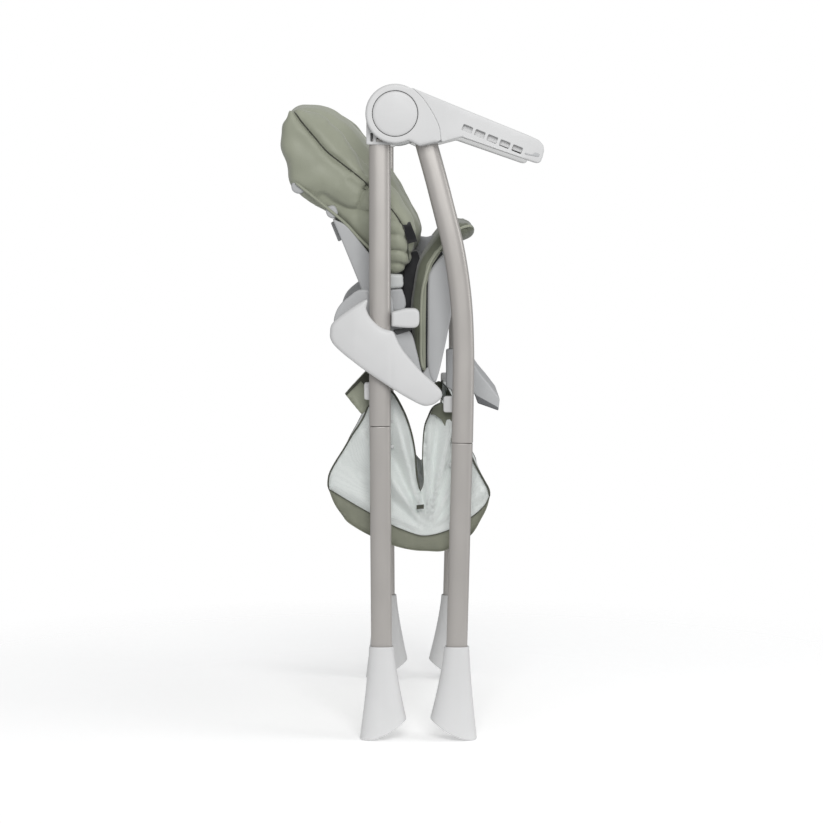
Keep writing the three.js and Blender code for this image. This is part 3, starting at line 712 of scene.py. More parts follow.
def make_arms():
    parting = smooth_path(PARTING, 2.0) + np.array([0.15, 0.1])
    shell = resample(np.vstack([parting, RAIL, [(14, 932.5)]]), 2.0, True)
    slots = arm_slots()
    arm = puff("rail_arm_shell_right", shell, 262, 284.2, 2.6, spacing=7, holes=slots, radius_in=0.4,
               crisp=[parting] + [np.vstack([s, s[:1]]) for s in slots])
    both_sides(arm, LIGHT, "front_frame", "rail_arm_{side}")
    ring = arc((HUB_X, HUB_Z), HUB_R + 0.9, 38, -64, 26)
    outline = resample(np.array(ring + [(14, 855)] + RAIL + [(14, 932)]), 2.2, True)
    both_sides(puff("rail_arm_inner_right", outline, 237, 262.3, 2.6, spacing=8), LIGHT, "front_frame")
    plate("rail_slot_floor_right", LIGHT, "front_frame", [(68, 893), (171, 851), (167, 842), (70, 877)],
          (262.5, 275.5), 3, 2.5, 1.0, 8)
    plate("rail_lip_right", LIGHT, "front_frame", [(73, 870.6), (158, 841.0), (157.4, 838.8), (73, 868.4)],
          (270, 285.4), 0.8, 1.5, 0.8, 8)
    # the hook at the rail's end is light plastic, painted in the darker shell grey as painted shade of its
    # recess
    hook = [(161, 846.2), (171.5, 843.5), (176.5, 846.5), (182.5, 844.2), (181, 840), (162, 843.5)]
    plate("rail_end_hook_right", SHELL, "front_frame", hook, (270, 285.2), 1.0, 1.2, 0.8,
          slot="light_plastic")


# ---- Sliders ----
COVER = [(-65, 637.5), (-108, 608), (-115, 590), (-112, 577), (-100, 564), (-82, 549.5), (-64, 536),
         (-29, 512.5), (-4, 497), (13, 488), (22, 485.6), (33, 488), (42, 495), (45, 502), (40, 512),
         (16, 534), (0, 552), (-13, 569), (-19.5, 581), (-22.6, 588), (-24.4, 591.6), (-28, 593.4),
         (-34, 594.8), (-42, 598), (-52, 606), (-59.5, 615.5), (-63.3, 625)]


def cover_warp(p, depth):
    """The cover draws in towards both of its ends, and has a shallow crease across it."""
    front = np.clip(p[:, 0] + 29, 0, None)
    front = front**2 / (front + 4)
    back = np.clip(-80 - p[:, 0], 0, None)
    crease = 0.7 * np.exp(-(((p[:, 0] + 27.5) / 2.2) ** 2))
    return -0.14 * front - 0.06 * back - crease * np.clip(depth / 6, 0, 1)


def make_sliders():
    outline = smooth_path(COVER, 2.4, True)
    cover = puff("slider_cover_skin_right", outline, 263.4, 277.6, 5.0, dome=1.8, spacing=3.2,
                 warp=cover_warp, radius_in=1.5)
    both_sides(cover, LIGHT, "carriage", "slider_cover_{side}")
    outline = smooth_path([(-73, 650), (-89, 640), (-102, 628), (-109, 614), (-110, 600), (-101, 580),
                           (-62, 546), (-10, 510), (16, 499), (28, 507), (17, 528), (9, 560), (1, 587),
                           (-12, 594), (-23, 603), (-27, 638), (-45, 648)], 2.4, True)
    inner = puff("slider_plate_skin_right", outline, 218, 236, 3.0)
    both_sides(inner, SHELL, "carriage", "slider_plate_{side}")
    lever = [(-27.4, 619.5), (-18, 622), (-8, 624.8), (12.5, 624.8), (12.5, 597), (-8, 597), (-27.4, 599)]
    plate("height_lever_paddle_right", LIGHT, "lever_{side}", lever, (239, 266),
          [1.5, 6, 6, 13, 13, 6, 1.5], 1.6, 4.0, 4, "height_lever_{side}")
    # a dark piece in the gap under the lever, painted shade
    recess = [(-25.5, 592.5), (-1, 597.2), (2, 593), (-4, 590.5), (-20, 585.5)]
    plate("lever_recess_right", RECESS_SHADE, "carriage", recess, (235, 237.6), 1.0, 1.4, 0.5, 5)


# ---- Soft shaping ----
def apply_modifiers(obj):
    """Replaces the mesh with its evaluated one."""
    deps = bpy.context.evaluated_depsgraph_get()
    deps.update()
    mesh = bpy.data.meshes.new_from_object(obj.evaluated_get(deps))
    obj.modifiers.clear()
    obj.data = mesh
    mesh.polygons.foreach_set("use_smooth", [True] * len(mesh.polygons))


def remesh(obj, size):
    mod = obj.modifiers.new("remesh", "REMESH")
    mod.mode = "VOXEL"
    mod.voxel_size = size * MM
    apply_modifiers(obj)


def inflate(obj, cap):
    """Swells the pad by cloth simulation, each point moving cap millimetres at most."""
    pressure, stiffness, frames = 4.0, 12.0, 20
    start = np.array([v.co for v in obj.data.vertices])
    mod = obj.modifiers.new("cloth", "CLOTH")
    mod.settings.use_pressure = True
    mod.settings.uniform_pressure_force = pressure
    mod.settings.tension_stiffness = mod.settings.compression_stiffness = stiffness
    mod.settings.bending_stiffness = 0.6
    mod.settings.quality = 4
    mod.settings.effector_weights.gravity = 0
    mod.collision_settings.use_collision = False
    mod.point_cache.frame_start, mod.point_cache.frame_end = 1, frames
    for f in range(1, frames + 1):
        bpy.context.scene.frame_set(f)
    deps = bpy.context.evaluated_depsgraph_get()
    mesh = bpy.data.meshes.new_from_object(obj.evaluated_get(deps))
    move = np.array([v.co for v in mesh.vertices]) - start
    obj.modifiers.clear()
    bpy.context.scene.frame_set(1)
    length = np.maximum(np.linalg.norm(move, axis=1), 1e-9)
    move *= (np.minimum(length, cap * MM) / length)[:, None]
    obj.data.vertices.foreach_set("co", (start + move).ravel())
    obj.data.update()


def subdivide(obj):
    mod = obj.modifiers.new("subdivision", "SUBSURF")
    mod.levels = mod.render_levels = 1
    apply_modifiers(obj)


def smooth(obj, times):
    bm = bmesh.new()
    bm.from_mesh(obj.data)
    for _ in range(times):
        bmesh.ops.smooth_vert(bm, verts=bm.verts, factor=0.5,
                              **{"use_axis_" + axis: True for axis in "xyz"})
    bm.to_mesh(obj.data)
    bm.free()


def soften(obj, weight_of, times):
    """Smooths only where weight_of gives a share above zero."""
    group = obj.vertex_groups.new(name="soft")
    for v in obj.data.vertices:
        group.add([v.index], weight_of(v.co / MM), "REPLACE")
    mod = obj.modifiers.new("soften", "SMOOTH")
    mod.factor, mod.iterations, mod.vertex_group = 0.6, times, group.name
    apply_modifiers(obj)
    obj.vertex_groups.remove(obj.vertex_groups["soft"])


def push(obj, amount):
    """Moves each vertex along its normal by amount(points), in millimetres, inwards when negative."""
    co = np.zeros(len(obj.data.vertices) * 3)
    obj.data.vertices.foreach_get("co", co)
    co = co.reshape(-1, 3)
    normals = np.array([v.normal for v in obj.data.vertices])
    co += normals * (amount(co / MM) * MM)[:, None]
    obj.data.vertices.foreach_set("co", co.ravel())
    obj.data.update()


def noise_at(points, sizes, seed=0.0):
    """Smooth noise at each point, its lumps as large as sizes in millimetres."""
    a, b, c = sizes
    return np.array([perlin(Vector((x / a + seed, y / b, z / c))) for x, y, z in points])


def seam(path, depth, width, y_from, pucker=0.25, swell=0.0):
    """A sewn line in the side view, on both sides of the seat: sunk, gathered a little, crowned beside it.
    It starts y_from away from the centre plane."""
    line = np.array(path, float)

    def amount(p):
        d = distance_to(p[:, [0, 2]], line, closed=False)
        mask = np.clip((np.abs(p[:, 1]) - y_from) / 12.0, 0, 1)
        ripple = noise_at(p, (11, 40, 11))
        sunk = -depth * np.exp(-((d / width) ** 2)) * (1 + pucker * 2 * ripple)
        gathers = pucker * depth * ripple * np.exp(-((d / (width * 4)) ** 2))
        crown = swell * np.exp(-(((d - width * 4) / (width * 3)) ** 2))
        return (sunk + gathers + crown) * mask

    return amount


def wrinkles(sizes, depth, seed):
    return lambda p: depth * noise_at(p, sizes, seed)


CAST_FROM = 0.12  # metres


def lay_on(obj, points, direction, lift):
    """Drops points onto an object along a direction, to stand lift millimetres off it."""
    deps = bpy.context.evaluated_depsgraph_get()
    tree = BVHTree.FromObject(obj, deps)
    d = Vector(direction).normalized()
    out = []
    for p in points:
        start = Vector(p) * MM - d * CAST_FROM
        hit = tree.ray_cast(start, d)
        out.append(tuple((hit[0] - d * lift * MM) / MM) if hit[0] is not None else tuple(p))
    return out


# ---- Backrest ----
BACK_EDGE = [(-187, 880), (-187, 862), (-178, 835), (-172, 807), (-151, 787), (-124, 766), (-100, 745),
             (-80, 722), (-62, 704), (-48, 687), (-33, 675), (-20, 671), (-12, 671)]
BACK_SEAM = [(-184, 897), (-174, 910), (-157, 890), (-140, 870), (-122, 849), (-101, 832), (-79, 815),
             (-60, 798), (-43, 780), (-27, 764), (-14, 745), (-6, 722), (-3, 690)]
BACK_FOLD = [(-183, 900), (-170, 914), (-148, 908), (-124, 895), (-104, 882), (-86, 863), (-70, 841),
             (-48, 812), (-25, 793), (-9, 768), (1, 744), (3, 720), (0, 688)]
BACK_CREST = [(-181, 903), (-163, 917), (-140, 914), (-112, 902), (-87, 883), (-63, 856), (-42, 833),
              (-23, 806), (-6, 775), (7, 749), (14, 731), (6, 708), (-1, 682)]


STRAP_Y = 52


def strap_channels(p):
    """The harness straps lie in two shallow channels."""
    depth, half, slope = 3.0, 12, 7
    across = np.abs(np.abs(p[:, 1]) - STRAP_Y)
    return -depth * (1 - np.clip((across - half) / slope, 0, 1))


def stitch(obj, name, path, radius, body):
    """A line of thread along a seam, on both sides, set into the cloth where the path meets it."""
    beside, shallowest, lift = 320, 0.12, 0.7
    tree = BVHTree.FromObject(obj, bpy.context.evaluated_depsgraph_get())
    for side, y in SIDES:
        hits = [tree.ray_cast(Vector((x, y * beside, z)) * MM, Vector((0, -y, 0)))[0] for x, z in path]
        hits = [at / MM for at in hits if at and abs(at.y) > shallowest]
        line = [(at.x, at.y + y * lift, at.z) for at in hits]
        dress(tube(f"{name}_{side}", line, radius, 6), THREAD, body)


def mix(p, q, t):
    return p + (q - p) * t


def both_halves(half):
    """A ring across the seat from half of it: (y, [x, z]) points, from the middle of one face on."""
    left = [(y, p) for y, p in reversed(half) if y > 0]
    return [(p[0], -y, p[1]) for y, p in half] + [(p[0], y, p[1]) for y, p in left]


# each seam: its path, depth, width, the y it starts from, and how far it is gathered and crowned
BACK_CREASES = [
    ([(-128, 783), (-112, 772), (-95, 766), (-78, 763), (-60, 762)], 5.5, 6.0, 160, 0.25, 2.4),
    ([(-62, 800), (-69, 788), (-75, 772)], 4.6, 4.2, 160, 0.25, 1.5),
    ([(-88, 806), (-76, 797), (-64, 794)], 3.2, 4.5, 160, 0.25, 0.0),
    ([(-116, 891), (-99, 878), (-85, 863), (-71, 841), (-62, 818)], 3.4, 4.5, 130, 0.25, 1.2),
    ([(-30, 748), (-19, 746), (-8, 741)], 2.2, 3.0, 150, 0.25, 1.6),
    ([(-30, 729), (-18, 728), (-6, 724)], 2.8, 3.0, 150, 0.25, 1.6),
    ([(-30, 706), (-16, 704.5), (-2, 700)], 4.0, 3.0, 150, 0.25, 1.6),
    ([(-30, 686), (-17, 685), (-4, 681)], 3.4, 3.0, 150, 0.25, 1.6),
]


def make_backrest_cushion():
    count = 61
    back, welt, fold, crest = [stations(c, count) for c in (BACK_EDGE, BACK_SEAM, BACK_FOLD, BACK_CREST)]
    crest = crest + (crest - np.array([9.0, 829.0])) * 0.035
    rings = []
    for u, b, s, f, c in zip(np.linspace(0, 1, count), back, welt, fold, crest):
        top, bottom = math.sqrt(min(1.0, u / 0.12)), min(1.0, (1 - u) / 0.1)
        wide = (0.86 + 0.14 * top) * (0.95 + 0.05 * bottom)
        half = [(0, mix(b, c, 0.14)), (70, mix(b, c, 0.10)), (130, mix(b, c, 0.05)), (170, b),
                (186, mix(b, s, 0.03)), (192.5, mix(b, s, 0.16)), (194.5, mix(b, s, 0.45)),
                (194, mix(b, s, 0.8)), (191, s), (187, mix(s, f, 0.35)), (178, mix(s, f, 0.75)), (166, f),
                (152, mix(f, s, 0.35)), (138, mix(c, b, 0.38)), (122, mix(c, b, 0.24)),
                (102, mix(c, b, 0.05)), (70, c), (30, mix(c, b, 0.01))]
        rings.append(both_halves([(y * wide, p) for y, p in half]))
    pad = loft("backrest_pad", rings)
    remesh(pad, 5.0)
    inflate(pad, 5.5)
    smooth(pad, 2)
    subdivide(pad)
    line = smooth_path(BACK_SEAM, 4)
    push(pad, seam(line, 4.8, 2.4, 165, 0.2, 2.4))
    for crease in BACK_CREASES:
        push(pad, seam(*crease))
    push(pad, wrinkles((30 / 0.7, 60, 30 / 1.3), 2.6, 3.0))
    push(pad, wrinkles((80, 80 / 0.6, 80), 4.0, 9.0))
    push(pad, strap_channels)
    dress(pad, SAGE, "backrest", "backrest_cushion")
    make_shoulder_straps(pad)
    stitch(pad, "backrest_seam", line[2:], 1.1, "backrest")
    edge = smooth_path([(-170, 802), (-159, 793.5), (-128, 768.5), (-97, 742.5), (-80, 724), (-61, 705)], 5)
    for side, y in SIDES:
        hem = tube("backrest_hem_" + side, [(x + 3.0, y * 191.5, z + 1.5) for x, z in edge], 2.1)
        dress(hem, SAGE, "backrest")
    flag = [(-7.2, -193.0, 745.2), (-3.6, -195.8, 736), (0.2, -197.2, 726.5), (2.8, -197.4, 716.9)]
    dress(ribbon("blank_side_label", flag, (13.2, -1.2, 3.6), 13.4, 0.9), TAG, "backrest")


def make_shoulder_straps(pad):
    strap = smooth_path([(-86, 892), (-60, 866), (-38, 842), (-16, 806), (2, 772), (14, 748)], 5)
    for side, y in SIDES:
        centre = lay_on(pad, [(x, y * STRAP_Y, z) for x, z in strap], (-0.75, 0, -0.66), 0.9)
        piece = ribbon("shoulder_webbing_" + side, centre, (0, 1, 0), 24, 1.6)
        dress(piece, WEB, "backrest", "shoulder_strap_" + side)


def make_backrest_shell():
    cheek = [(-114, 752), (-97, 712), (-73, 653), (-56, 600), (-49, 566), (-38, 541), (-26, 548),
             (-29, 575), (-29, 650), (-31, 673), (-57, 697), (-92, 742)]
    corners = [4, 8, 8, 8, 8, 8, 6, 6, 6, 4, 4, 4]
    plate("backrest_shell_cheek_right", SHELL, "backrest", cheek, (186.3, 192), corners, 2.4, 2.4, 8)
    wall = [(-114, 752), (-97, 712), (-73, 653), (-56, 600), (-49, 566), (-42, 566), (-48.5, 600),
            (-65, 650), (-90, 712), (-103, 745)]
    plate("backrest_shell_back", SHELL, "backrest", wall, (-186.8, 186.8), 3, 2.4, 2.2, 8, "backrest_shell")
    grip = [(-115.5, 744.5), (-120.5, 742.5), (-109, 714), (-104, 716.5)]
    plate("recline_handle_bar", SHELL, "recline_grip", grip, (-45, 45), 2, 1.2, 2.0, 4, "recline_handle")
    tab = [(-174, 803), (-172, 790), (-160, 786), (-152, 792), (-160, 806)]
    plate("headrest_tab_right", SHELL, "backrest", tab, (172, 188), 6, 1.6, 3.0, 4)
    tab = [(-124, 768), (-122, 755), (-112, 750), (-104, 758), (-110, 772)]
    plate("backrest_tab_right", SHELL, "backrest", tab, (172, 190), 6, 1.6, 3.0, 4)


# ---- Seat pan ----
PAN_INNER = [(15, 532), (8, 545), (4, 576), (2.5, 619), (6, 650), (14, 688), (31, 715), (49, 736),
             (66, 745), (82, 745), (93, 740)]
PAN_WELT = [(18, 532), (15, 548), (14.5, 576), (15, 619), (17.5, 650), (27, 685), (40.5, 706), (57, 725.5),
            (71, 737), (86, 741), (97, 739)]
PAN_OUTER = [(19.5, 532), (20.5, 548), (20.5, 576), (20.5, 619), (21.5, 652), (29, 680), (42, 699),
             (58, 713), (78, 722), (91, 726), (99, 732)]


def make_seat_cushion():
    count = 51
    inner, welt, outer = [stations(c, count) for c in (PAN_INNER, PAN_WELT, PAN_OUTER)]
    rings = []
    for u, a, w, o in zip(np.linspace(0, 1, count), inner, welt, outer):
        wide = (0.95 + 0.05 * min(1, u / 0.1)) * (1 - 0.06 * max(0, (u - 0.8) / 0.2) ** 2)
        half = [(0, a), (60, a), (120, a), (160, mix(a, w, 0.04)), (178, mix(a, w, 0.2)),
                (187, mix(a, w, 0.55)), (190, w), (187, mix(w, o, 0.5)), (178, mix(w, o, 0.9)), (150, o),
                (80, o)]
        ring = both_halves([(y * wide, p) for y, p in half])
        ring.insert(len(half), (o[0], 0, o[1]))
        rings.append(ring)
    pad = loft("seat_pad", rings)
    remesh(pad, 4.0)
    inflate(pad, 2.5)
    smooth(pad, 1)
    soften(pad, lambda q: min(max((q.x - 60) / 14, 0), 1), 24)
    subdivide(pad)
    push(pad, wrinkles((26, 52, 26 / 0.6), 1.1, 5.0))
    push(pad, seam(smooth_path(PAN_WELT[4:], 4), 1.2, 3.0, 168, 0.5))
    for x0, z0, x1, z1 in ((84, 748, 90, 733), (92, 744, 95, 733), (75, 749, 84, 729)):
        push(pad, seam([(x0, z0), (x1, z1)], 1.5, 2.6, 120, 0.2, 0.4))
    # the seat pad takes the darker sage copy, as painted shade
    dress(pad, SAGE_SHADED, "seat_pan", "seat_cushion")
    line = smooth_path(PAN_WELT[:-1] + [(89, 739.5)], 5)
    for side, y in SIDES:
        path = [(x, y * (191.0 - 10 * max(0, (x - 62) / 36)), z) for x, z in line]
        dress(tube("seat_piping_" + side, path, 2.0), SAGE, "seat_pan")


def make_seat_pan():
    leaf = smooth_path([(50, 702), (38, 690), (28.6, 676), (25, 660), (24.4, 600), (24.6, 535), (34, 513),
                        (40, 524), (48, 558), (55, 592), (60.5, 626), (59, 664), (55, 692)], 2.6, True)
    both_sides(puff("seat_shell_cheek_right", leaf, 181, 190, 3.6, dome=1.6), SHELL, "seat_pan")
    base = [(47, 706), (36, 690), (26.5, 668), (23.6, 640), (23.6, 560), (24, 528), (34, 522), (36, 560),
            (38, 640), (46, 668), (54, 684)]
    plate("seat_shell_base", SHELL, "seat_pan", base, (-180, 180), 4, 2.4, 2.0, 8, "seat_shell")
    # the gap between the cover cuff and the shell cheek: shell plastic painted near-black as painted shade
    gap = [(21.5, 532), (21.5, 600), (22.5, 655), (31, 684), (44, 704), (47, 701), (34, 681), (25.8, 652),
           (25.2, 600), (25.2, 532)]
    plate("seat_shell_gap_right", INTERIOR_SHADE, "seat_pan", gap, (180.5, 185.2), 1, 2.4, 0.5,
          slot="shell_plastic")
    rim = [(17, 530), (14.5, 600), (15, 650), (23, 686), (37, 708), (45, 703), (33, 684), (24.8, 655),
           (22.8, 600), (22.8, 530)]
    plate("seat_cover_cuff", SAGE, "seat_pan", rim, (-185, 185), 2, 2.4, 1.6, 8)
    knuckle = [(6, 516), (11, 507), (30, 506), (36, 520), (30, 536), (24, 536), (17, 526), (8, 523)]
    plate("seat_knuckle_right", SHELL, "seat_pan", knuckle, (150, 189), 4, 1.6, 2.0)
    ear = [(44, 694), (52, 706), (68, 712), (79, 708), (79, 696), (66, 692), (52, 682)]
    plate("footrest_lug_right", SHELL, "seat_pan", ear, (114, 122), 4, 1.6, 1.6)
    # the guard takes the darker grey, as painted shade
    guard = [(9, 722), (24, 719.5), (40, 725), (47, 721), (40, 709), (26, 694), (18, 670), (8, 672),
             (4, 700)]
    plate("crotch_guard", GUARD_SHADED, "seat_pan", guard, (-26, 26), 4, 2.0, 5.0, 5)
    # a near-black sheet inside the folded seat, painted shade of its deep interior
    interior_shade = [(-10, 700), (10, 704), (14, 690), (5, 650), (3, 560), (-9, 560), (-12, 640)]
    plate("seat_interior_shade_sheet", INTERIOR_SHADE, "seat_pan", interior_shade, (-150, 150), 4, 2.4, 2.0, 9)


def make_footrest():
    board = [(64, 706), (64, 495), (94, 491), (99, 477), (130, 466), (132, 484), (116, 505), (103, 520),
             (94, 534), (82, 552), (76, 565), (76, 706)]
    corners = [5, 3, 3, 3, 2.5, 3, 6, 6, 6, 6, 6, 5]
    plate("footrest_board_skin", SHELL, "footrest_board", board, (-112, 112), corners, 2.0, 3.0, 7,
          "footrest")
    for side, left, top, span in (("right", 52, 557, (101, 112)), ("left", 56, 544, (-112, -101))):
        outline = rounded([(left, top), (67, top), (67, 494.5), (62, 494.5), (left, 501)], 2.5)
        dress(puff("footrest_bracket_" + side, outline, *span, 2.0), SHELL, "footrest_board")
    # the underside strip is shell plastic, painted dark as painted shade
    facet = [(94, 490.6), (129.6, 470.6), (130, 465.6), (99, 476.6)]
    plate("foot_plate_underside", UNDERSIDE_SHADE, "footrest_board", facet, (-112.7, 112.7), 1.5, 1.5, 1.2)


# ---- Harness ----
def make_harness():
    crotch = smooth_path([(-16.5, 641), (-14, 618), (-10, 596), (-3, 568)], 5)
    strap = ribbon("crotch_webbing", [(x, 0, z) for x, z in crotch], (0, 1, 0), 30, 2.4)
    dress(strap, WEB, "seat_pan", "crotch_strap")
    buckle = [(-27, 645), (-12, 643.5), (-10, 656.5), (-24, 661)]
    plate("buckle_shell", LIGHT, "seat_pan", buckle, (-20, 20), 3, 1.4, 2.6, 4, "harness_buckle")
    pad = [(-32, 671.5), (-12, 670.5), (-10.5, 655), (-13, 651), (-32, 649.5)]
    plate("side_anchor_pad_right", SNAP, "backrest", pad, (168, 190), 3, 1.6, 4.0, 4)
    loop = [(-32, 649), (-13, 650.5), (-8, 636), (-6.5, 625), (-11, 618), (-32, 616)]
    plate("side_anchor_loop_right", SHELL, "backrest", loop, (172, 184), 4, 1.6, 3.2, 4)


# ---- Storage basket ----
NET_LEFT = [(-119, 360), (-120, 368), (-118, 382), (-110, 398), (-98, 417), (-85, 439), (-71, 460),
            (-62, 480)]
NET_TOP_REAR = [(-62, 480), (-45, 494), (-29, 503), (-11, 475), (0, 445), (6, 415), (9, 379), (14, 357)]
NET_TOP_FRONT = [(14, 357), (18.5, 372), (17, 408), (19.5, 448), (25, 465), (32, 479), (44, 486)]
NET_RIGHT = [(44, 486), (61, 469), (76, 437), (91, 401), (106, 373), (113, 360), (114.5, 350)]
BAND_TOP = [(114.5, 350), (107, 336), (88, 319), (55, 300), (26, 292), (6, 294), (-29, 308), (-60, 325),
            (-91, 343), (-119, 360)]
BAND_LOW = [(-119, 360), (-110, 338), (-99, 322), (-90, 311), (-62, 294), (-25, 278), (2, 271.5), (23, 270),
            (47, 270), (66, 280), (88, 294), (102, 317), (110, 333), (114.5, 350)]
GATHER = np.array([24.0, 297.0])
# each fold: the angle of its crest and its width, in degrees, and its height
FOLDS = ((-62, 24, 10), (-33, 15, 20), (-15, 10, 22), (1, 8, 17), (12, 8, 20), (28, 13, 14), (52, 16, 9))
SAG = -5.0
MOUTH_DEPTH = 0.7
MOUTH_HALF = 158
MOUTH_CORNER = 34


def bulge_of(p):
    """How far the side net stands off its plane: folds that run together at the bottom of the notch."""
    d = p - GATHER
    r = np.linalg.norm(d, axis=1)
    a = np.degrees(np.arctan2(d[:, 0], d[:, 1]))
    folds = np.zeros(len(p))
    for crest, width, depth in FOLDS:
        left = np.clip(1 - (crest - a) / width, 0, 1) * (a <= crest)
        right = np.clip(1 - (a - crest) / (width * 0.55), 0, 1) * (a > crest)
        folds = np.maximum(folds, depth * (left + right) ** 1.3)
    slack = 3.0 * np.array([perlin(Vector((x / 38, z / 38, 6.0))) for x, z in p])
    reach = np.clip(r / 45, 0, 1) * np.clip((215 - r) / 80, 0, 1)
    return (folds - 3.0) * reach + slack


def basket_edge():
    """The basket's outlines in the side view, resampled so that neighbours share their points."""
    lines = {"left": NET_LEFT, "rear": NET_TOP_REAR, "front": NET_TOP_FRONT, "right": NET_RIGHT,
             "band": BAND_TOP, "low": BAND_LOW}
    return {name: resample(smooth_path(line, 2), 5.0) for name, line in lines.items()}


def thin(obj, thickness):
    """Turns a sheet without thickness into one of the thickness."""
    mod = obj.modifiers.new("thickness", "SOLIDIFY")
    mod.thickness = thickness * MM
    mod.offset = 0
    apply_modifiers(obj)


def mouth_cut(y):
    """How far down the basket's front wall its opening is cut at y, as a share of the wall."""
    t = min(max((MOUTH_HALF - abs(y)) / MOUTH_CORNER, 0), 1)
    return MOUTH_DEPTH * t * t * (3 - 2 * t)


def along(curve, share):
    """The point at a share of a curve's points."""
    at = share * (len(curve) - 1)
    return np.array([np.interp(at, np.arange(len(curve)), curve[:, k]) for k in (0, 1)])


def sagging(curve, place, out):
    """The point at a share of the curve, moved off it by out."""
    t = tangents(curve)
    return along(curve, place) + along(np.stack([-t[:, 1], t[:, 0]], axis=1), place) * out


def cross_panel(curve, sag, rows=26, half=BASKET_HALF, cut=lambda y: 0.0):
    """A panel across the basket, over a curve of the side view, its top cut down by cut(y)."""
    n = len(curve)
    verts, faces = [], []
    for j in range(rows + 1):
        y = -half + 2 * half * j / rows
        share = 1 - (y / half) ** 2
        for i in range(n):
            place = cut(y) + (1 - cut(y)) * i / (n - 1)
            ripple = perlin(Vector((i * 0.16, y * 0.018, 2.0))) * 1.6
            out = (sag * share + ripple * min(1, share * 3)) * math.sin(math.pi * place)
            x, z = sagging(curve, place, out)
            verts.append((x, y, z))
            if j < rows and i < n - 1:
                faces.append((j * n + i, j * n + i + 1, (j + 1) * n + i + 1, (j + 1) * n + i))
    return verts, faces


def join_parts(name, parts):
    """One piece of cloth from panels given as (points, faces), sewn where their edges meet."""
    verts, faces = [], []
    for v, f in parts:
        faces += [tuple(i + len(verts) for i in face) for face in f]
        verts += list(v)
    obj = new_object(name, verts, faces)
    tidy_mesh(obj, 0.4 * MM)
    return narrow(obj)


def narrow(obj):
    """The basket's left side hangs slacker: a little narrower than the right one, with a wider notch."""
    rear, front = np.array(NET_TOP_REAR[:1:-1]), np.array(NET_TOP_FRONT)
    middle, slimmer, top, deeper = 14.0, 0.11, 829, 0.909
    axis, wider, spare, fade = 1.2, 1.1, 1.8, 30.0
    notch_bottom, blend_height, below = 356, 14, 1.5
    for v in obj.data.vertices:
        x, y, z = v.co / MM
        share = min(max((y + BASKET_HALF) / (2 * BASKET_HALF), 0), 1)
        slim = middle + (x - middle) * (1 - slimmer * share)
        above = top - (top - z) * deeper
        opened = min(max((z - notch_bottom) / blend_height, 0), 1)
        lips = [np.interp(z, edge[:, 1], edge[:, 0]) for edge in (rear, front)]
        edge, lip, side = (rear, lips[0], -1) if x < sum(lips) / 2 else (front, lips[1], 1)
        goal = axis + (np.interp(above, edge[:, 1], edge[:, 0]) - axis) * wider + side * spare
        shift = (goal - (middle + (lip - middle) * (1 - slimmer))) * opened + below * (1 - opened)
        v.co.x = (slim + share * shift * math.exp(-max(0.0, (x - lip) * side) / fade)) * MM
    return obj


def side_panel(outline, y_sign, lift):
    """A side of the basket, standing lift(points) off its plane away from its edges."""
    verts, faces, depth = region(outline, 3.6, [2.0])
    off = BASKET_HALF - 4 + lift(verts) * np.clip(depth / 9.0, 0, 1)
    off[depth < 1e-6] = BASKET_HALF
    return [(v[0], y_sign * abs(o), v[1]) for v, o in zip(verts, off)], faces


def follow(obj):
    """Bakes a piece of the basket's object transform into its mesh."""
    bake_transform(obj)


def make_basket():
    edge = basket_edge()
    net_outline = np.vstack([edge[name][:-1] for name in ("left", "rear", "front", "right", "band")])
    parts = [side_panel(net_outline, y, bulge_of) for _, y in SIDES]
    parts += [cross_panel(edge["left"], SAG), cross_panel(edge["right"], SAG, 54, cut=mouth_cut)]
    net_piece = join_parts("basket_net_panels", parts)
    thin(net_piece, 0.9)
    dress(net_piece, NET, None, "basket_sides")
    follow(net_piece)
    band_outline = np.vstack([edge["band"][:-1], edge["low"][:-1]])
    parts = [side_panel(band_outline, y, lambda p: np.full(len(p), 1.5)) for _, y in SIDES]
    parts.append(cross_panel(edge["low"], -4.0))
    cloth = join_parts("basket_base_panels", parts)
    thin(cloth, 1.2)
    dress(cloth, BASE, None, "basket_base")
    follow(cloth)
    trims = make_net_trims(net_piece)
    make_bindings(edge)


def make_net_trims(net_piece):
    """The cloth sleeves on the front lobes, the pull loops and the snap studs."""
    sleeve = [(33, 480), (44, 485.5), (60, 477), (64, 468), (66, 424), (61, 425), (53, 446), (44, 462),
              (33, 470), (28, 468)]
    # the sleeves are basket cloth, given the darker sage copy as painted shade
    trims = [*plate("basket_sleeve_right", SAGE_SHADED, "front_frame", sleeve, (212, 218.4), 3, 2.0, 0.8, 4,
                    slot="basket_cloth", warp=lambda v, depth: wave_of(v) * np.clip(depth / 4, 0, 1))]
    for side, y in SIDES:
        spots = [(x, y * 230, 334.8 + 0.1 * (x - 8)) for x in np.linspace(8.4, 19.2, 6)]
        loop = lay_on(net_piece, spots, (0, -y, 0), 1.6)
        proud = y * max(abs(q[1]) for q in loop)
        piece = ribbon("basket_pull_loop_" + side, [(q[0], proud, q[2]) for q in loop], (0, 0, 1), 6.2, 1.2)
        trims.append(dress(piece, TRIM, "front_frame"))
    stud = [(0, 217.4), (1.8, 217.2), (3.0, 216.2), (3.4, 214.6), (3.4, 212.0), (0, 212.0)]
    places = ((-27.5, 422, "rear_frame"), (-26, 459, "rear_frame"), (57.5, 395, "front_frame"))
    for i, (x, z, body) in enumerate(places):
        trims += both_sides(lathe(f"basket_stud_{i + 1}_right", stud, (x, z), 24), SNAP, body)
    return trims


def wave_of(v):
    """The slight waves of a sleeve's outer face."""
    return np.array([1.6 * perlin(Vector((x / 9, z / 22, 4.0))) for x, z in v])


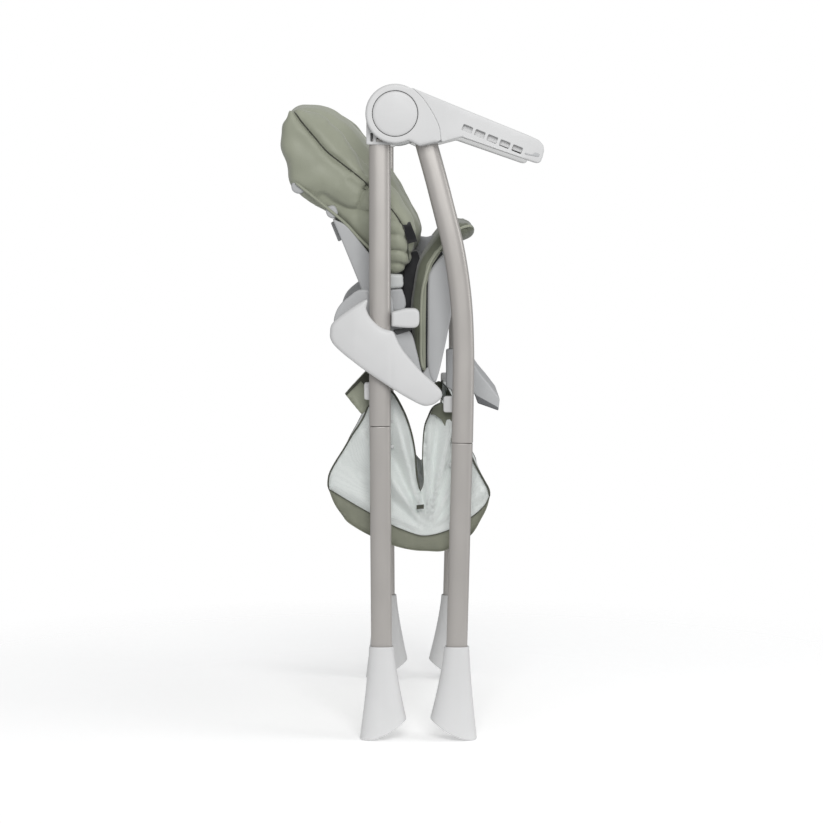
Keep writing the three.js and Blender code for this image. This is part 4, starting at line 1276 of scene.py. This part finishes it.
def mouth_line(curve, sag):
    """The cut edge of the front wall, from side to side."""
    line = []
    for y in np.linspace(-BASKET_HALF, BASKET_HALF, 90):
        place = mouth_cut(y)
        x, z = sagging(curve, place, sag * (1 - (y / BASKET_HALF) ** 2) * math.sin(math.pi * place))
        line.append((x, y, z))
    return line


def make_bindings(edge):
    mouth = narrow(tube("basket_binding_mouth", mouth_line(edge["right"], SAG), 1.5, 8))
    dress(mouth, TRIM, None)
    follow(mouth)
    tapes = (("binding_rear", "rear", 1.9, 1.0), ("binding_front", "front", 0.35, 1.3),
             ("binding_back_edge", "left", 1.2, 1.2), ("binding_front_edge", "right", 1.2, 1.6),
             ("band_seam", "band", 0.6, 0.6))
    for name, curve, first, last in tapes:
        for side, y in SIDES:
            middle = y * BASKET_HALF * MM
            line = [(x, y * (BASKET_HALF + 0.4), z) for x, z in edge[curve]]
            piece = narrow(tube(f"basket_{name}_{side}", line, np.linspace(first, last, len(line)), 8))
            for v in piece.data.vertices:
                v.co.y = middle + (v.co.y - middle) * 0.6
            dress(piece, TRIM, None)
            follow(piece)


FLAP = [(-50, 520), (-66, 529), (-95, 498), (-71, 468.5), (-61, 479), (-50, 492)]
FLAP_SPAN = (-208.0, -158.0)


def make_hanger_flap():
    """The folded cloth end at the basket's rear corner, given the lighter sage of the cover as painted
    light on its lit face, with a dark band along its top that is partly binding and partly painted shade of
    its inner face.
    """
    outline = rounded(FLAP, 2.0, 3)
    ring = np.vstack([outline, outline[:1]])
    outer, inner = FLAP_SPAN
    middle, half = (outer + inner) / 2, (inner - outer) / 2
    verts, faces = cross_panel(ring, 0.0, 8, half)
    wall = ([(x, y + middle, z) for x, y, z in verts], faces)
    verts, faces, depth = region(outline, 5.0)
    sunk = 2.5 * np.clip(depth / 6, 0, 1)
    near = ([(x, outer + s, z) for (x, z), s in zip(verts, sunk)], faces)
    far = ([(x, inner, z) for x, z in verts], faces)
    flap = join_parts("basket_hanger_flap", [near, far, wall])
    thin(flap, 1.4)
    # painted light: the flap is basket cloth, given the lighter sage cover colour
    dress(flap, SAGE, "rear_frame", slot="basket_cloth")
    # partly binding, partly painted shade: the dark band and the dark triangle at its top end
    band = [(-65, 530.5), (-96, 498.5), (-93.2, 495.8), (-72, 517), (-66, 509), (-56, 507), (-56, 522)]
    span = (-outer - 0.6, -outer + 1.4)
    binding = plate("basket_flap_binding", TRIM, "rear_frame", band, span, 1.0, 2.0, 0.7)


make_legs()
make_feet()
make_hubs()
make_hub_cores()
make_release_springs()
make_arms()
make_sliders()
make_backrest_cushion()
make_backrest_shell()
make_seat_cushion()
make_seat_pan()
make_footrest()
make_harness()
make_basket()
make_hanger_flap()

# ---- CAD nodes that stay ----
KEEP = {
    SHELL: ["slider_sleeve_{side}"],
    LIGHT: ["front_basket_clip_{side}", "rear_basket_clip_{side}"],
    PAINT: ["rear_cross_tube", "front_cross_tube"],
    STEEL: ["hub_axle_{side}", "lock_gear_{side}", "release_spring_{side}", "backrest_axle", "seat_axle",
            "footrest_axle"],
}
for mat, names in KEEP.items():
    for name in names:
        for side, _ in SIDES:
            paint_with(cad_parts[name.format(side=side)], mat)


# ---- Stage, light and camera ----
WORLD_LIGHT = 0.4
FLOOR_GLOW = 0.3
FLOOR_SIZE = 2.6
FLOOR_FADE = (0.35, 1.1)
EYE = (0.009, -4.34, 0.829)
TILT_DOWN, TURN = 4.93, 0.11
LENS, SENSOR = 125.1, 36
# each light: its name, place, aim, size and power
LIGHTS = [("key", (0.2, -2.9, 1.8), (0, 0, 0.62), (1.3, 1.3), 50),
          ("side", (2.4, -1.0, 1.3), (0, 0, 0.5), (1.2, 2.0), 16),
          ("top", (0.2, 0.5, 3.0), (0, 0, 0), (2.4, 2.4), 10)]


def make_stage():
    angles = np.linspace(0, 2 * math.pi, 96, endpoint=False)
    ring = [(FLOOR_SIZE * math.cos(a), FLOOR_SIZE * math.sin(a), 0) for a in angles]
    mesh = bpy.data.meshes.new("floor_sheet")
    mesh.from_pydata(ring, [], [tuple(range(len(ring)))])
    floor = bpy.data.objects.new("floor_sheet", mesh)
    bpy.context.scene.collection.objects.link(floor)
    mat, tree, shader = base_material(
        "pale_floor", (252, 252, 252), 0.85,
        **{"Specular IOR Level": 0.1, "Emission Color": (1, 1, 1, 1), "Emission Strength": FLOOR_GLOW}
    )
    vary_colour(tree, shader, coords(tree), (252, 252, 252), (250, 250, 250), 2)
    fade_out(tree, shader, *FLOOR_FADE)
    floor.data.materials.append(mat)


def make_world():
    """Soft light from all round, seen as plain white by the camera."""
    world = bpy.data.worlds.new("studio")
    world.use_nodes = True
    tree = world.node_tree
    soft = tree.nodes["Background"]
    soft.inputs["Color"].default_value = (0.98, 0.99, 1, 1)
    soft.inputs["Strength"].default_value = WORLD_LIGHT
    white = node(tree, "ShaderNodeBackground", Color=(1, 1, 1, 1))
    path = node(tree, "ShaderNodeLightPath")
    choose(tree, path.outputs["Is Camera Ray"], soft, white, tree.nodes["World Output"])
    bpy.context.scene.world = world
    bpy.context.scene.view_settings.view_transform = "Standard"


def choose(tree, share, first, second, output):
    """Sends first to the output where share is 0, second where it is 1."""
    mixed = node(tree, "ShaderNodeMixShader")
    tree.links.new(share, mixed.inputs["Fac"])
    tree.links.new(first.outputs[0], mixed.inputs[1])
    tree.links.new(second.outputs[0], mixed.inputs[2])
    tree.links.new(mixed.outputs[0], output.inputs["Surface"])


def fade_out(tree, shader, start, end):
    """Lets the floor melt into the white around it, between two distances from the object's middle."""
    place = node(tree, "ShaderNodeTexCoord")
    length = node(tree, "ShaderNodeVectorMath", Operation="LENGTH")
    span = node(tree, "ShaderNodeMapRange", **{"From Min": start, "From Max": end})
    tree.links.new(place.outputs["Object"], length.inputs[0])
    tree.links.new(length.outputs["Value"], span.inputs["Value"])
    clear = node(tree, "ShaderNodeBsdfTransparent")
    choose(tree, span.outputs["Result"], shader, clear, tree.nodes["Material Output"])


def area_light(name, place, aim, size, power):
    """A rectangular lamp at a place, turned to its aim."""
    data = bpy.data.lights.new(name, "AREA")
    data.shape = "RECTANGLE"
    data.size, data.size_y = size
    data.energy = power
    lamp = bpy.data.objects.new(name, data)
    lamp.location = place
    direction = Vector(aim) - Vector(place)
    lamp.rotation_euler = direction.to_track_quat("-Z", "Y").to_euler()
    bpy.context.scene.collection.objects.link(lamp)


def make_camera():
    data = bpy.data.cameras.new("camera")
    data.sensor_width, data.lens, data.clip_end = SENSOR, LENS, 100
    camera = bpy.data.objects.new("camera", data)
    camera.location = EYE
    camera.rotation_euler = (math.radians(90 - TILT_DOWN), 0, math.radians(TURN))
    bpy.context.scene.collection.objects.link(camera)
    bpy.context.scene.camera = camera


make_stage()
make_world()
for light in LIGHTS:
    area_light(*light)
make_camera()
